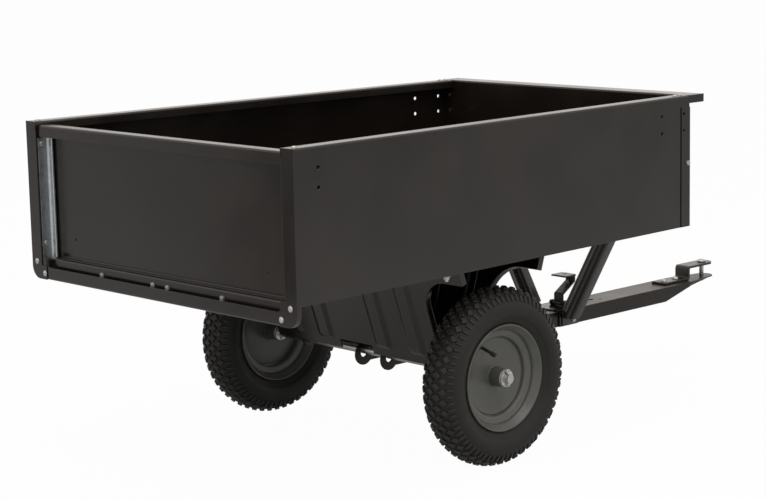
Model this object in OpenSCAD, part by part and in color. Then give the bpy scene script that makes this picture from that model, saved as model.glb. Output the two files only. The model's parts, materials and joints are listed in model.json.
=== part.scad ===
// Tow-behind tipping cart: a tapered sheet-steel bed on two pneumatic wheels, with a channel drawbar.
// Millimetres, +X forward, +Y left, +Z up, ground at Z = 0, origin under the middle of the outline.

/* [Bed] */
// Length of the bed from the rear plane to the front ends of the sides
bed_len = 1280; // [1240:10:1320]
// Half width over the sides at the rear
rear_half_w = 450; // [444:1:456]
// Half width over the sides at the front
front_half_w = 405; // [400:1:412]
// Height of the sides above their bottom edge
side_h = 311; // [300:1:330]
// Thickness of the bed sheet
sheet_t = 2; // [1.6:0.1:2.2]
// Width of the top rims turned inward
rim_w = 36; // [34:0.5:37]
// Height of the hem turned down inside the rims
hem_h = 20; // [14:1:24]
// Width of the bottom flanges turned inward
side_flange_w = 30; // [24:1:34]
// Distance from the rear plane to the start of the bottom flanges
flange_start = 20; // [18:1:26]
// Middle radius of the sheet bends
bend_r = 3; // [2.5:0.1:3.5]
// Gap between neighbouring sheets that do not touch
sheet_gap = 0.5; // [0.4:0.1:1]
// Diameter of the stake holes in the sides
stake_hole_d = 9; // [7:0.5:10]
// Distance of the rear stake holes from the rear plane
stake_rear_x = 67; // [64:1:80]
// Distance of the outer front stake holes behind the front plane
stake_front_in = 22; // [21:1:26]
// Pitch of the front stake holes along the side
stake_pitch_x = 83; // [70:1:95]
// Height of the upper stake holes
stake_top_z = 269; // [262:1:275]
// Pitch of the stake holes up the side
stake_pitch_z = 40; // [32:1:48]

/* [Rear posts and sill] */
// Width of the rear post flanges
post_w = 36; // [34:0.5:37]
// Length of the forward return on the posts
post_lip = 31; // [30:0.5:33]
// Height at which the forward return starts
post_lip_z = 10; // [9.5:0.5:14]
// Drop of the post feet below the sides
foot_drop = 43; // [42:0.5:48]
// Width of the foot leg turned toward the middle
foot_leg_w = 54; // [52:1:60]
// Height of the foot leg
foot_leg_h = 31; // [28:1:34]
// Outer corner radius of the foot
foot_r = 28; // [24:1:30]
// Depth of the return along the rounded foot edge
foot_return = 12; // [8:1:14]
// Width of the foot return along its bottom
foot_return_w = 36; // [32:1:37]
// Distance of the upper corner bolts inside the outer faces
corner_in1 = 19; // [18:0.5:20]
// Drop of the upper corner bolts below the sides' bottom edge
corner_down1 = 4; // [3:0.5:5]
// Distance of the lower corner bolts inside the outer faces
corner_in2 = 47; // [46:0.5:47]
// Drop of the lower corner bolts below the sides' bottom edge
corner_down2 = 29; // [28:0.5:30]
// Distance of the sill's ends inside the outer faces
sill_in = 39; // [38:0.5:41]
// Depth of the sill from its rear strip to the face of its front leg
sill_depth = 17; // [16.5:0.1:18]
// Height of the sill's rear strip
sill_strip_h = 28; // [24:1:32]
// Top of the sill's front leg below the sides' bottom edge
sill_leg_down = 2; // [1.5:0.5:4]
// Distance of the bolted sill ears inside the outer faces
sill_ear_in = 9; // [8:0.5:12]
// Top of the bolted sill ears
sill_ear_top = 8; // [7:0.5:9]
// Inner sill bolts' distance from the middle
sill_bolt_y1 = 25; // [20:1:40]
// Outer sill bolts' distance from the middle
sill_bolt_y2 = 205; // [180:1:230]
// Drop of the sill bolts below the sides' bottom edge
sill_bolt_z = 13; // [11:0.5:15]
// Drop of the floor's rear flange below the sides' bottom edge
floor_flange_drop = 22; // [20:1:26]

/* [Tailgate] */
// Distance of the tailgate's rear face from the rear plane
gate_x = 34; // [33.5:0.1:34.5]
// Distance of the tailgate's edges inside the outer faces
gate_in = 41; // [40:0.5:45]
// Gap of the tailgate's top below the side tops
gate_top_gap = 8; // [6:0.5:12]
// Depth of the top rail turned rearward
rail_depth = 29; // [26:0.5:30]
// Height of the rail's turned-down edge
rail_drop = 26; // [22:1:30]
// Depth of the bottom lip turned rearward
gate_lip = 14; // [10:0.5:15]
// Distance of the bottom lip's ends inside the tailgate's edges
gate_lip_in = 21; // [20:1:29]
// Distance of the small tailgate holes inside its edges
gate_hole_in = 82; // [70:1:100]
// Height of the small tailgate holes
gate_hole_z = 50; // [40:1:60]
// Diameter of the small tailgate holes
gate_hole_d = 6; // [4:0.5:8]
// Thickness of the guide angles
guide_t = 2.5; // [2:0.1:2.8]
// Width of the guide flange that holds the tailgate
guide_w = 22; // [20:0.5:23]
// Gap between the tailgate and its guides
gate_gap = 3; // [2.5:0.1:3.3]
// Length of the guide's foot on the floor
guide_foot = 9; // [6:0.5:10]
// Gap between the guides' tops and the rail
guide_top_gap = 3; // [2:0.5:6]
// Distance of the guide bolts from the rear plane
guide_bolt_x = 15; // [13:0.5:17]
// Height of the lower guide bolts
guide_bolt_z1 = 38; // [30:1:44]
// Drop of the upper guide bolts below the side tops
guide_bolt_z2 = 50; // [48:1:56]
// Distance of the inner stops from the rear corner along the side
stop_x = 41; // [40.5:0.1:43]
// Length of the inner stops' base along the side
stop_base = 20; // [15:1:22]
// Reach of the inner stops from the side's outer face
stop_reach = 64; // [55:1:70]
// Drop of the inner stops' tops below the side tops
stop_top = 26; // [25:1:40]

/* [Front panel] */
// Width of the flanges that wrap back over the sides
wrap_w = 31; // [29:0.5:32]
// Drop of the wrap flanges' tops below the side tops
wrap_drop = 27; // [24:1:34]
// Depth of the top lip turned forward
lip_depth = 56; // [50:1:60]
// Height of the lip's turned-down edge
lip_drop = 19; // [16:1:22]
// Depth of the bottom flange under the floor
front_flange = 46; // [44:1:52]
// Height of the bolt through each wrap flange
wrap_bolt_z = 152; // [130:1:170]
// Distance of the wrap bolts behind the front plane
wrap_bolt_in = 8; // [7.5:0.5:8.5]
// Length of the tabs under the rims
tab_len = 44; // [40:1:50]
// Width of the tabs under the rims
tab_w = 26; // [20:1:28]
// Distance of the rear rim bolts from the rear plane
rim_bolt_rear = 20; // [16:1:24]
// Distance of the first front rim bolts behind the front plane
rim_bolt_front = 12; // [10:1:14]
// Pitch of the two front rim bolts
rim_bolt_pitch = 20; // [18:1:22]

/* [Axle and pans] */
// Distance of the axle from the rear plane
axle_x = 632; // [626:1:636]
// Drop of the axle below the sides' bottom edge
axle_drop = 256; // [253:1:259]
// Diameter of the axle
axle_d = 20; // [18:0.5:22]
// Running gap of everything that turns on the axle
axle_gap = 0.05; // [0.02:0.01:0.1]
// Gap round the axle in the fixed parts
axle_hole_gap = 0.2; // [0.1:0.05:0.4]
// Thickness of the axle pans
pan_t = 2.5; // [2:0.1:3]
// Distance of the pans' tops from the axle along the bed
pan_top_dx = 135; // [130:1:142]
// Distance of the pans' bottoms from the axle along the bed
pan_bot_dx = 54; // [52:1:58]
// Drop of the pans' bottom edges below the sides' bottom edge
pan_drop = 243; // [241:0.5:244]
// Distance of the pans' horn ends inside the outer faces
pan_in = 23; // [20:1:30]
// Half width of the pans at the bottom
pan_bot_half = 275; // [272:1:280]
// Radius of the concave pan edges round the tyres
pan_arc_r = 78; // [74:1:80]
// Height of the straight horn ends at the top of the pans
pan_horn = 37; // [34:1:40]
// Depth of the flange along the pans' edges
pan_edge = 12; // [8:1:13]
// Width of the top flange bolted to the floor
pan_flange = 34; // [32:1:40]
// Distance of the inner ribs from the middle
rib_y1 = 97; // [85:1:110]
// Distance of the outer ribs from the middle
rib_y2 = 206; // [190:1:212]
// Width of the ribs
rib_w = 30; // [26:1:34]
// Height of the ribs
rib_h = 7; // [5:0.5:9]
// Margin of the ribs from the upper and lower pan edges
rib_end = 14; // [10:1:20]
// Half width of the notch in the pans' bottom edges
notch_half = 53; // [52:1:60]
// Height of the notch in the pans' bottom edges
notch_h = 22; // [20:1:26]
// Distance of the rear pan's gussets from the middle
gusset_y = 232; // [228:0.5:233]
// Radius of the gussets' ends round the axle
gusset_r = 19; // [17:0.5:22]
// Distance up the slope from the pans' bottom to the gussets' tops
gusset_up = 120; // [100:1:140]
// Distance of the inner pan bolts from the middle
pan_bolt_y1 = 150; // [130:1:170]
// Distance of the outer pan bolts inside the ends of the top flanges
pan_bolt_in = 16; // [14:1:22]

/* [Wheels] */
// Radius of the tyre
tyre_r = 200; // [196:1:203]
// Width of the tyre
tyre_w = 94; // [92:1:98]
// Shoulder radius of the tyre
tyre_shoulder = 34; // [28:1:38]
// Wall thickness of the tyre
tyre_wall = 8; // [6:0.5:9]
// Radius of the rim's bead seats
seat_r = 101.5; // [100:0.5:103]
// Radius of the rim's flanges
rim_r = 118; // [116:0.5:120]
// Width over the rim's flanges
rim_width = 68; // [66:1:72]
// Thickness of the rim sheet
rim_t = 2.5; // [2:0.1:3]
// Radius of the rim's well
well_r = 86; // [84:0.5:88]
// Half width of the rim's well
well_half = 10; // [9.5:0.5:11]
// Distance of the disc inside the wheel's middle plane
disc_in = 7; // [5:0.5:7.5]
// Width of each bead seat
seat_w = 17; // [16.5:0.5:17.5]
// Width of the tyre's beads
bead_w = 13; // [10:0.5:14]
// Gap between the tyre and the rim
bead_gap = 0.2; // [0.1:0.05:0.4]
// Wall thickness of the inner tube
tube_wall = 2; // [1.5:0.1:2.5]
// Gap between the inner tube and the tyre
tube_gap = 1; // [0.5:0.1:1.5]
// Distance of the wheels' middle planes from the middle
wheel_y = 375; // [372:1:380]
// Outer radius of the hub tube
hub_r = 21; // [20:0.5:24]
// Half length of the hub tube
hub_half = 35; // [34:0.5:36]
// Wall of the bushings
bush_wall = 4; // [3:0.5:5]
// Length of the bushings inside the hub
bush_len = 25; // [20:1:30]
// Thickness of the bushing flanges
bush_flange = 2; // [1.5:0.1:2.5]
// Gap of the bushings in the hub and of the hub in the disc
fit_gap = 0.05; // [0.02:0.01:0.1]
// Radius of the bushing flanges
bush_flange_r = 19; // [18:0.5:20]
// Radius of the valve stem
valve_r = 3.5; // [3:0.1:4]
// Distance of the valve's foot from the wheel's middle plane
valve_y = 4; // [3.5:0.5:5]
// Turn of the valve round the axle, from the front
valve_angle = 240; // [0:5:355]
// Lean of the valve stem out of the wheel's plane
valve_lean = 62; // [50:1:70]
// Depth of the stem's bend below the rim's well
valve_drop = 5; // [4:0.5:7]
// Extra radius of the ball at the stem's bend
valve_ball = 0.6; // [0.4:0.1:1]
// Length of the valve stem beyond its bend
valve_len = 30; // [24:1:34]
// Length of the valve cap
cap_len = 12; // [8:1:13]
// Wall of the valve cap
cap_wall = 1.5; // [1:0.1:2]
// Thickness of the axle washers
washer_t = 2.5; // [2:0.1:3]
// Radius of the axle washers
washer_r = 19; // [17:0.5:21]
// Side play of the wheels
wheel_play = 0.3; // [0.3:0.05:0.6]
// Distance of the cotter pins beyond the washers
cotter_out = 3.5; // [3:0.1:4.5]
// Radius of the cotter pins
cotter_r = 2; // [1.6:0.1:2.2]
// Length of the axle beyond the cotter pins
axle_over = 7; // [5:0.5:9]

/* [Drawbar] */
// Height of the drawbar's top above the axle
bar_up = 9.5; // [8:0.5:10]
// Depth of the drawbar's walls
bar_h = 38; // [37:0.5:41]
// Width of the drawbar
bar_w = 88; // [86:0.5:92]
// Thickness of the drawbar
bar_t = 3; // [2.5:0.1:3.5]
// Distance of the drawbar's tip from the rear plane
tip_x = 1889; // [1880:1:1900]
// Radius of the drawbar's tip
tip_r = 25; // [23:0.5:27]
// Distance from the tip to the start of the plan taper
tip_taper = 130; // [120:1:136]
// Distance from the tip to the front end of the walls
wall_front = 136; // [135:1:145]
// Distance from the tip to the start of the walls' upward slope
wall_slope = 241; // [232:1:255]
// Height of the walls at their front end
wall_front_h = 11; // [9:0.5:13]
// Radius of the rear ears
ear_r = 27; // [25:0.5:28]
// Drop of the ears' middle below the axle
ear_drop = 10; // [8:0.5:12]
// Length of the free slot below the axle in the ears
ear_slot = 8; // [6:0.5:9]
// Distance from the axle to the start of the top plate
plate_start = 24; // [22:1:30]
// Distance of the oval hole from the tip
oval_in = 494; // [480:1:505]
// Length of the oval hole
oval_len = 20; // [14:1:24]
// Width of the oval hole
oval_w = 10; // [8:0.5:12]
// Distance of the small hole from the tip
small_in = 473; // [455:1:473]
// Offset of the small hole from the middle
small_y = 14; // [12:1:18]
// Diameter of the small hole
small_d = 8; // [6:0.5:9]

/* [Hitch] */
// Width of the hitch strap
strap_w = 45; // [42:0.5:50]
// Thickness of the hitch strap
strap_t = 6; // [5:0.1:7]
// Gap between the drawbar and the upper strap plate
hitch_gap = 31; // [28:0.5:34]
// Distance from the tip to the strap's rear end
strap_rear = 217; // [210:1:222]
// Distance from the tip to the strap's riser
strap_rise = 117; // [112:1:122]
// Distance from the tip to the strap's front end
strap_front = 3; // [1:0.5:6]
// Distance from the tip to the rear strap bolt
strap_bolt1 = 195; // [188:1:198]
// Distance from the tip to the front strap bolt
strap_bolt2 = 146; // [142:1:150]
// Diameter of the hitch pin
pin_d = 12; // [10:0.5:14]
// Distance of the hitch pin from the tip
pin_in = 32; // [30:1:36]
// Running gap of the hitch pin
pin_gap = 0.05; // [0.02:0.01:0.1]
// Height of the hitch pin's head
pin_head_h = 7; // [5:0.5:9]
// Diameter of the hitch pin's head
pin_head_d = 24; // [20:0.5:26]
// Length of the pin below the drawbar's top plate
pin_below = 12; // [11:0.5:14]
// Distance of the hairpin below the drawbar's top plate
hair_below = 5; // [5:0.5:6]
// Diameter of the hairpin wire
hair_d = 3.5; // [3:0.1:4]
// Length of the hairpin behind the hitch pin
hair_rear = 40; // [36:1:44]
// Length of the hairpin in front of the hitch pin
hair_front = 20; // [14:1:22]
// Gap under the saddle and under the pin head, which rest on the hitch parts
rest_gap = 0.3; // [0.3:0.05:0.6]

/* [Struts, saddle and latch] */
// Distance of the strut channels' middle behind the front plane
strut_in = 34; // [33:0.5:36]
// Width of the strut channels
strut_w = 30; // [26:1:32]
// Depth of the strut channels along the bed
strut_depth = 26; // [22:1:30]
// Thickness of the strut channels
strut_t = 3; // [2.5:0.1:3.5]
// Distance of the struts' tops from the middle
strut_top_y = 205; // [195:1:215]
// Distance of the struts' feet from the middle
strut_foot_y = 45; // [42:0.5:48]
// Drop of the strut channels' lower ends below the drawbar's top
strut_end = 14; // [12:0.5:16]
// Length of the struts' top plates
strut_plate = 84; // [80:1:90]
// Thickness of the saddle
saddle_t = 3; // [2.5:0.1:3.5]
// Gap between the saddle and the drawbar's sides
saddle_gap = 1; // [0.6:0.1:1.4]
// Length of the saddle
saddle_len = 70; // [66:1:76]
// Distance of the saddle's front end from the bed's front plane
saddle_front = 11; // [10:0.5:13]
// Distance of the strut foot studs behind the front plane
stud_in = 13; // [12:0.5:14]
// Drop of the strut foot studs below the drawbar's top
stud_drop = 24.5; // [23:0.5:26]
// Distance of the latch pivot behind the front plane
latch_in = 8; // [7:0.5:10]
// Height of the latch pivot above the saddle
latch_up = 7; // [6.8:0.2:8]
// Diameter of the latch pivot
latch_pin_d = 8; // [6:0.5:9]
// Wall of the latch lugs round the pivot
lug_wall = 3; // [3:0.1:4]
// Thickness of the latch lugs
lug_t = 3; // [2.5:0.1:3.5]
// Width of the latch lever
latch_w = 29; // [26:0.5:31]
// Thickness of the latch lever
latch_t = 4; // [3.5:0.1:4.5]
// Height of the lever's upright above the pivot
latch_rise = 23; // [20:1:26]
// Forward reach of the lever's sloping part
latch_reach = 45; // [40:1:48]
// Height of the lever's sloping part
latch_climb = 28; // [24:1:32]
// Height of the pad above the sloping part
pad_rise = 18; // [14:1:22]
// Side of the square foot pad
pad_w = 48; // [44:1:52]
// Diameter of the hole in the foot pad
pad_hole_d = 9; // [7:0.5:12]
// Drop of the nose's top below the pivot
nose_top = 17.5; // [17:0.5:19]
// Height of the nose
nose_h = 6; // [5:0.5:7]
// Forward reach of the nose at rest
nose_reach = 10; // [9:0.5:10.5]
// Gap in front of the nose in its slot
nose_gap = 1.5; // [1:0.1:2]
// Gap beside the lever in its slots
latch_side_gap = 2; // [1:0.5:3]
// Free length of the slot behind the pivot
slot_rear = 9; // [8:0.5:11]

/* [Fasteners] */
// Radius of the bolts
bolt_r = 3.5; // [3:0.1:4]
// Gap round the bolts
bolt_gap = 0.3; // [0.2:0.05:0.5]
// Radius of the bolt heads and nuts
head_r = 6.5; // [6:0.1:7]
// Height of the bolt heads
head_h = 4; // [3:0.1:4.5]
// Height of the nuts
nut_h = 5; // [4:0.1:5.5]
// Length of thread beyond the nuts
thread_over = 1.5; // [1:0.1:2]

/* [Hidden] */
$fn = 64;
paint = [0.10, 0.085, 0.08];
zinc = [0.78, 0.78, 0.76];
galvanised = [0.66, 0.67, 0.66];
rim_grey = [0.36, 0.36, 0.37];
tyre_black = [0.06, 0.06, 0.06];
rubber_black = [0.04, 0.04, 0.04];
nylon = [0.85, 0.84, 0.80];
steel = [0.72, 0.72, 0.72];
hex = 6;
bend_steps = 5;
cut = 0.01;
taper_a = atan((rear_half_w - front_half_w) / bed_len);
side_len = bed_len / cos(taper_a);
floor_z = sheet_t;
floor_top = 2 * sheet_t;
dome = 1.5;
rear_min = -(dome - 1) * head_r;
mid_x = (rear_min + tip_x) / 2;
deck_z = tyre_r + axle_drop;
axle_r = axle_d / 2;
hole_r = bolt_r + bolt_gap;
post_in = rear_half_w - post_w;
sill_leg_x = sheet_t + sill_depth;
floor_flange_x = sill_leg_x - 2 * sheet_t;
sill_top = -foot_drop + sill_strip_h;
sill_half = rear_half_w - sill_in;
gate_half = rear_half_w - gate_in;
gate_lip_half = gate_half - gate_lip_in;
gate_hole_y = gate_half - gate_hole_in;
corner_bolt1 = [rear_half_w - corner_in1, -corner_down1];
corner_bolt2 = [rear_half_w - corner_in2, -corner_down2];
gate_bottom = floor_top + sheet_gap;
gate_top = side_h - gate_top_gap;
guide_x = gate_x - gate_gap - guide_t;
guide_top = gate_top - rail_drop - guide_top_gap;
front_x = bed_len + sheet_t;
pan_run = pan_top_dx - pan_bot_dx;
pan_slope = atan(pan_run / pan_drop);
pan_len = norm([pan_run, pan_drop]);
arc_s = pan_horn + pan_arc_r;
arc_y = pan_bot_half + pan_arc_r;
pan_top_half = half_at(axle_x) - pan_in;
pan_flange_half = half_at(axle_x + pan_top_dx + pan_flange) - side_flange_w - 2 * sheet_gap;
pan_bolt_y2 = pan_flange_half - pan_bolt_in;
pan_flange_x = axle_x - pan_top_dx - pan_flange;
bar_top = -axle_drop + bar_up;
bar_bottom = bar_top - bar_h;
bar_half = bar_w / 2;
ear_z = -axle_drop - ear_drop;
saddle_z = bar_top + rest_gap;
saddle_half = bar_half + saddle_gap + saddle_t;
saddle_x = bed_len + saddle_front - saddle_len;
strut_x = bed_len - strut_in;
stud_x = bed_len - stud_in;
stud_z = bar_top - stud_drop;
latch_x = bed_len - latch_in;
latch_z = saddle_z + saddle_t + latch_up;
lug_r = latch_pin_d / 2 + lug_wall;
slot_half = latch_w / 2 + latch_side_gap;
slot_front = nose_reach + nose_gap;
strap_top = bar_top + strap_t + hitch_gap;
upper_z = bar_top + hitch_gap;
pin_x = tip_x - pin_in;
pin_low = bar_top - bar_t - pin_below;
hair_z = bar_top - bar_t - hair_below;
bush_r = axle_r + axle_gap + bush_wall;
hub_end = wheel_y + hub_half + bush_flange;
hub_inner = wheel_y - hub_half - bush_flange;
cotter_y = hub_end + wheel_play + washer_t + cotter_out;
cotter_in_y = hub_inner - wheel_play - washer_t - cotter_out;
axle_half = cotter_y + axle_over;
stake_zs = [stake_top_z, stake_top_z - stake_pitch_z];
stake_xs = [stake_rear_x, bed_len - stake_front_in, bed_len - stake_front_in - stake_pitch_x];
pan_bolt_xs = [axle_x - pan_top_dx - pan_flange / 2, axle_x + pan_top_dx + pan_flange / 2];
rim_mid = rim_w / 2;
strut_bolt_x = bed_len - front_flange / 2;

function half_at(x) = rear_half_w - (rear_half_w - front_half_w) * x / bed_len;
function unit(v) = v / norm(v);
function turn(v) = [-v[1], v[0]];
function spun(v, q) = [cos(q) * v[0] - sin(q) * v[1], sin(q) * v[0] + cos(q) * v[1]];
function bent(a, b) = atan2(a[0] * b[1] - a[1] * b[0], a * b);
function corner(p, a, b, r) = [for (k = [0 : bend_steps])
  let (q = bent(a, b), s = sign(q), c = p - a * r * tan(abs(q) / 2) + turn(a) * r * s)
  let (n = spun(turn(a), q * k / bend_steps)) [c - n * r * s, n]];
function stations(p, r) = concat(
  [[p[0], turn(unit(p[1] - p[0]))]],
  [for (i = [1 : len(p) - 2]) each corner(p[i], unit(p[i] - p[i - 1]), unit(p[i + 1] - p[i]), r)],
  [[p[len(p) - 1], turn(unit(p[len(p) - 1] - p[len(p) - 2]))]]);

// Strip of thickness t folded along the middle line p with bends of radius r
module folded(p, t, r) {
  s = stations(p, r);
  n = len(s);
  polygon(concat([for (k = s) k[0] + k[1] * t / 2], [for (i = [1 : n]) s[n - i][0] - s[n - i][1] * t / 2]));
}

// Drawing plane (y, z), drawn forward from x
module along_x(x, l) {
  translate([x, 0, 0]) rotate([90, 0, 90]) linear_extrude(l) children();
}

// Drawing plane (x, z), drawn to the left from y
module along_y(y, l) {
  translate([0, y + l, 0]) rotate([90, 0, 0]) linear_extrude(l) children();
}

// Drawing plane (x, y), drawn up from z
module along_z(z, l) {
  translate([0, 0, z]) linear_extrude(l) children();
}

// Box between two opposite corners
module box(a, b) {
  translate(a) cube(b - a);
}

// Flat rectangle between two opposite corners
module rect(a, b) {
  translate(a) square(b - a);
}

module in_deck() {
  translate([-mid_x, 0, deck_z]) children();
}

module both_sides() {
  for (m = [0, 1]) mirror([0, m, 0]) children();
}

module right_hand() {
  mirror([0, 1, 0]) children();
}

// Frame of the left side: x along the side from its rear corner, outer face at y = 0
module on_side() {
  translate([0, rear_half_w, 0]) rotate([0, 0, -taper_a]) children();
}

// Cylinder of radius r centred on the origin and lying along Y
module across(r, l) {
  rotate([90, 0, 0]) cylinder(r = r, h = l, center = true);
}

// Cylinder of radius r from the origin along +X
module forward(r, l) {
  rotate([0, 90, 0]) cylinder(r = r, h = l);
}

// Bolt seated on z = 0 with its hexagon head above and its nut under the grip
module fastener(grip) {
  cylinder(r = head_r, h = head_h, $fn = hex);
  translate([0, 0, -grip - nut_h - thread_over]) cylinder(r = bolt_r, h = grip + nut_h + thread_over + cut);
  translate([0, 0, -grip - nut_h]) cylinder(r = head_r, h = nut_h, $fn = hex);
}

// Screw with a low round head on z = 0 and its nut under the grip
module round_bolt(grip) {
  intersection() {
    translate([0, 0, -head_r]) sphere(r = head_r * dome);
    cylinder(r = head_r, h = head_h);
  }
  translate([0, 0, -grip - nut_h - thread_over]) cylinder(r = bolt_r, h = grip + nut_h + thread_over + cut);
  translate([0, 0, -grip - nut_h]) cylinder(r = head_r, h = nut_h, $fn = hex);
}

module foot_outline(inset) {
  intersection() {
    translate([rear_half_w - foot_r, foot_r - foot_drop]) circle(r = foot_r - inset);
    rect([rear_half_w - foot_r - cut, -foot_drop], [rear_half_w, foot_r - foot_drop + cut]);
  }
  rect([rear_half_w - foot_r, foot_r - foot_drop], [rear_half_w - inset, sheet_t]);
  rect([rear_half_w - foot_return_w, inset - foot_drop], [rear_half_w - foot_r, foot_r - foot_drop]);
}

module post() {
  along_x(0, sheet_t) {
    rect([post_in, foot_r - foot_drop], [rear_half_w, side_h]);
    rect([rear_half_w - foot_leg_w, -foot_drop], [rear_half_w - foot_r, foot_leg_h - foot_drop]);
    foot_outline(0);
  }
  along_x(0, foot_return) difference() {
    foot_outline(0);
    foot_outline(sheet_t);
    rect([rear_half_w - foot_return_w - cut, foot_r - foot_drop], [rear_half_w - sheet_t, sheet_t + cut]);
  }
  box([0, post_in, post_lip_z], [post_lip, post_in + sheet_t, side_h - sheet_t / 2]);
  box([0, post_in + sheet_t, side_h - 2 * sheet_t],
    [tab_len, post_in + sheet_t + tab_w, side_h - sheet_t / 2]);
}

module stake_holes() {
  for (x = stake_xs, z = stake_zs) translate([x, half_at(x), z]) across(stake_hole_d / 2, 4 * rim_mid);
}

module side_panel() {
  color(paint) difference() {
    union() {
      on_side() along_x(0, side_len) folded([[-sheet_t / 2, 0], [-sheet_t / 2, side_h - sheet_t / 2],
        [sheet_t / 2 - rim_w, side_h - sheet_t / 2], [sheet_t / 2 - rim_w, side_h - hem_h]], sheet_t, bend_r);
      on_side() along_x(flange_start, side_len - flange_start)
        rect([-side_flange_w, 0], [-sheet_t / 2, sheet_t]);
      post();
    }
    stake_holes();
    for (b = [corner_bolt1, corner_bolt2])
      translate([-cut, b[0], b[1]]) forward(hole_r, foot_return);
    guide_holes([guide_bolt_z1, side_h - guide_bolt_z2]);
    translate([rim_bolt_rear, rear_half_w - rim_mid, side_h - hem_h]) cylinder(r = hole_r, h = 2 * hem_h);
    front_rim_holes();
    wrap_hole();
  }
}

function front_rim_xs() = [bed_len - rim_bolt_front, bed_len - rim_bolt_front - rim_bolt_pitch];

module front_rim_holes() {
  for (x = front_rim_xs())
    translate([x, half_at(x) - rim_mid, side_h - hem_h]) cylinder(r = hole_r, h = 2 * hem_h);
}

module guide_holes(heights) {
  for (z = heights) translate([guide_bolt_x, post_in, z]) across(hole_r, post_w);
}

module wrap_hole() {
  on_side() translate([side_len - wrap_bolt_in, 0, wrap_bolt_z]) across(hole_r, wrap_w);
}

module left_side_panel() in_deck() side_panel();
module right_side_panel() in_deck() right_hand() side_panel();

module floor_panel() {
  color(paint) in_deck() difference() {
    union() {
      along_z(floor_z, sheet_t) polygon([for (k = [[0, 1], [1, 1], [1, -1], [0, -1]])
        let (x = k[0] == 0 ? floor_flange_x + 2 * bend_r : bed_len)
        [x, k[1] * (half_at(x) - sheet_t - sheet_gap)]]);
      along_y(-sill_half, 2 * sill_half) folded([[floor_flange_x + sheet_t / 2, -floor_flange_drop],
        [floor_flange_x + sheet_t / 2, 1.5 * sheet_t], [floor_flange_x + 4 * bend_r, 1.5 * sheet_t]],
        sheet_t, bend_r);
    }
    sill_holes();
    pan_holes();
    strut_holes();
  }
}

module sill_holes() {
  for (y = [-sill_bolt_y2, -sill_bolt_y1, sill_bolt_y1, sill_bolt_y2])
    translate([sheet_t + 2 * cut, y, -sill_bolt_z]) forward(hole_r, 2 * sill_depth);
}

module pan_holes() {
  for (x = pan_bolt_xs, y = [pan_bolt_y1, pan_bolt_y2]) both_sides()
    translate([x, y, -2 * pan_t]) cylinder(r = hole_r, h = 6 * pan_t);
}

module strut_holes() {
  both_sides() for (y = strut_bolt_ys())
    translate([strut_bolt_x, y, -2 * strut_t]) cylinder(r = hole_r, h = 6 * strut_t);
}

function strut_bolt_ys() = [for (k = [-1, 1]) strut_top_y + k * (strut_plate / 2 - 2 * head_r)];

module rear_sill() {
  color(paint) in_deck() difference() {
    union() {
      along_y(-sill_half, 2 * sill_half) folded([[1.5 * sheet_t, sill_top],
        [1.5 * sheet_t, sheet_t / 2 - foot_drop], [sill_leg_x - sheet_t / 2, sheet_t / 2 - foot_drop],
        [sill_leg_x - sheet_t / 2, -sill_leg_down]], sheet_t, bend_r);
      both_sides() along_x(sheet_t, sheet_t)
        rect([sill_half - 2 * head_r, sheet_t + bend_r * 2 - foot_drop],
          [rear_half_w - sill_ear_in, sill_ear_top]);
    }
    translate([sill_depth / 2, 0, 0]) sill_holes();
    both_sides() for (b = [corner_bolt1, corner_bolt2])
      translate([0, b[0], b[1]]) forward(hole_r, 2 * sheet_t + bend_r);
  }
}

module tailgate() {
  x = gate_x + sheet_t / 2;
  color(paint) in_deck() difference() {
    union() {
      along_y(-gate_half, 2 * gate_half) folded([[x, gate_bottom], [x, gate_top - sheet_t / 2],
        [x - rail_depth, gate_top - sheet_t / 2], [x - rail_depth, gate_top - rail_drop]], sheet_t, bend_r);
      along_y(-gate_lip_half, 2 * gate_lip_half) folded([[x, gate_bottom + gate_lip],
        [x, gate_bottom + sheet_t / 2], [x - gate_lip, gate_bottom + sheet_t / 2]], sheet_t, bend_r);
    }
    both_sides() translate([x - sheet_t, gate_hole_y, gate_hole_z]) forward(gate_hole_d / 2, 2 * sheet_t);
  }
}

module guide() {
  color(galvanised) difference() {
    union() {
      along_z(floor_top, guide_top - floor_top) {
        rect([2 * sheet_t, post_in - guide_t], [guide_x + guide_t, post_in]);
        rect([guide_x, post_in - guide_w], [guide_x + guide_t, post_in]);
      }
      box([guide_x - guide_foot, post_in - guide_w, floor_top], [guide_x, post_in, floor_top + guide_t]);
    }
    guide_holes([guide_bolt_z1, (guide_bolt_z1 + side_h - guide_bolt_z2) / 2, side_h - guide_bolt_z2]);
  }
}

module left_tailgate_guide() in_deck() guide();
module right_tailgate_guide() in_deck() right_hand() guide();

module inner_stop() {
  color(paint) on_side() along_z(floor_top, side_h - stop_top - floor_top) {
    rect([stop_x, -sheet_t - guide_t], [stop_x + stop_base, -sheet_t]);
    rect([stop_x, -stop_reach], [stop_x + guide_t, -sheet_t]);
  }
}

module left_inner_stop() in_deck() inner_stop();
module right_inner_stop() in_deck() right_hand() inner_stop();

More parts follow.
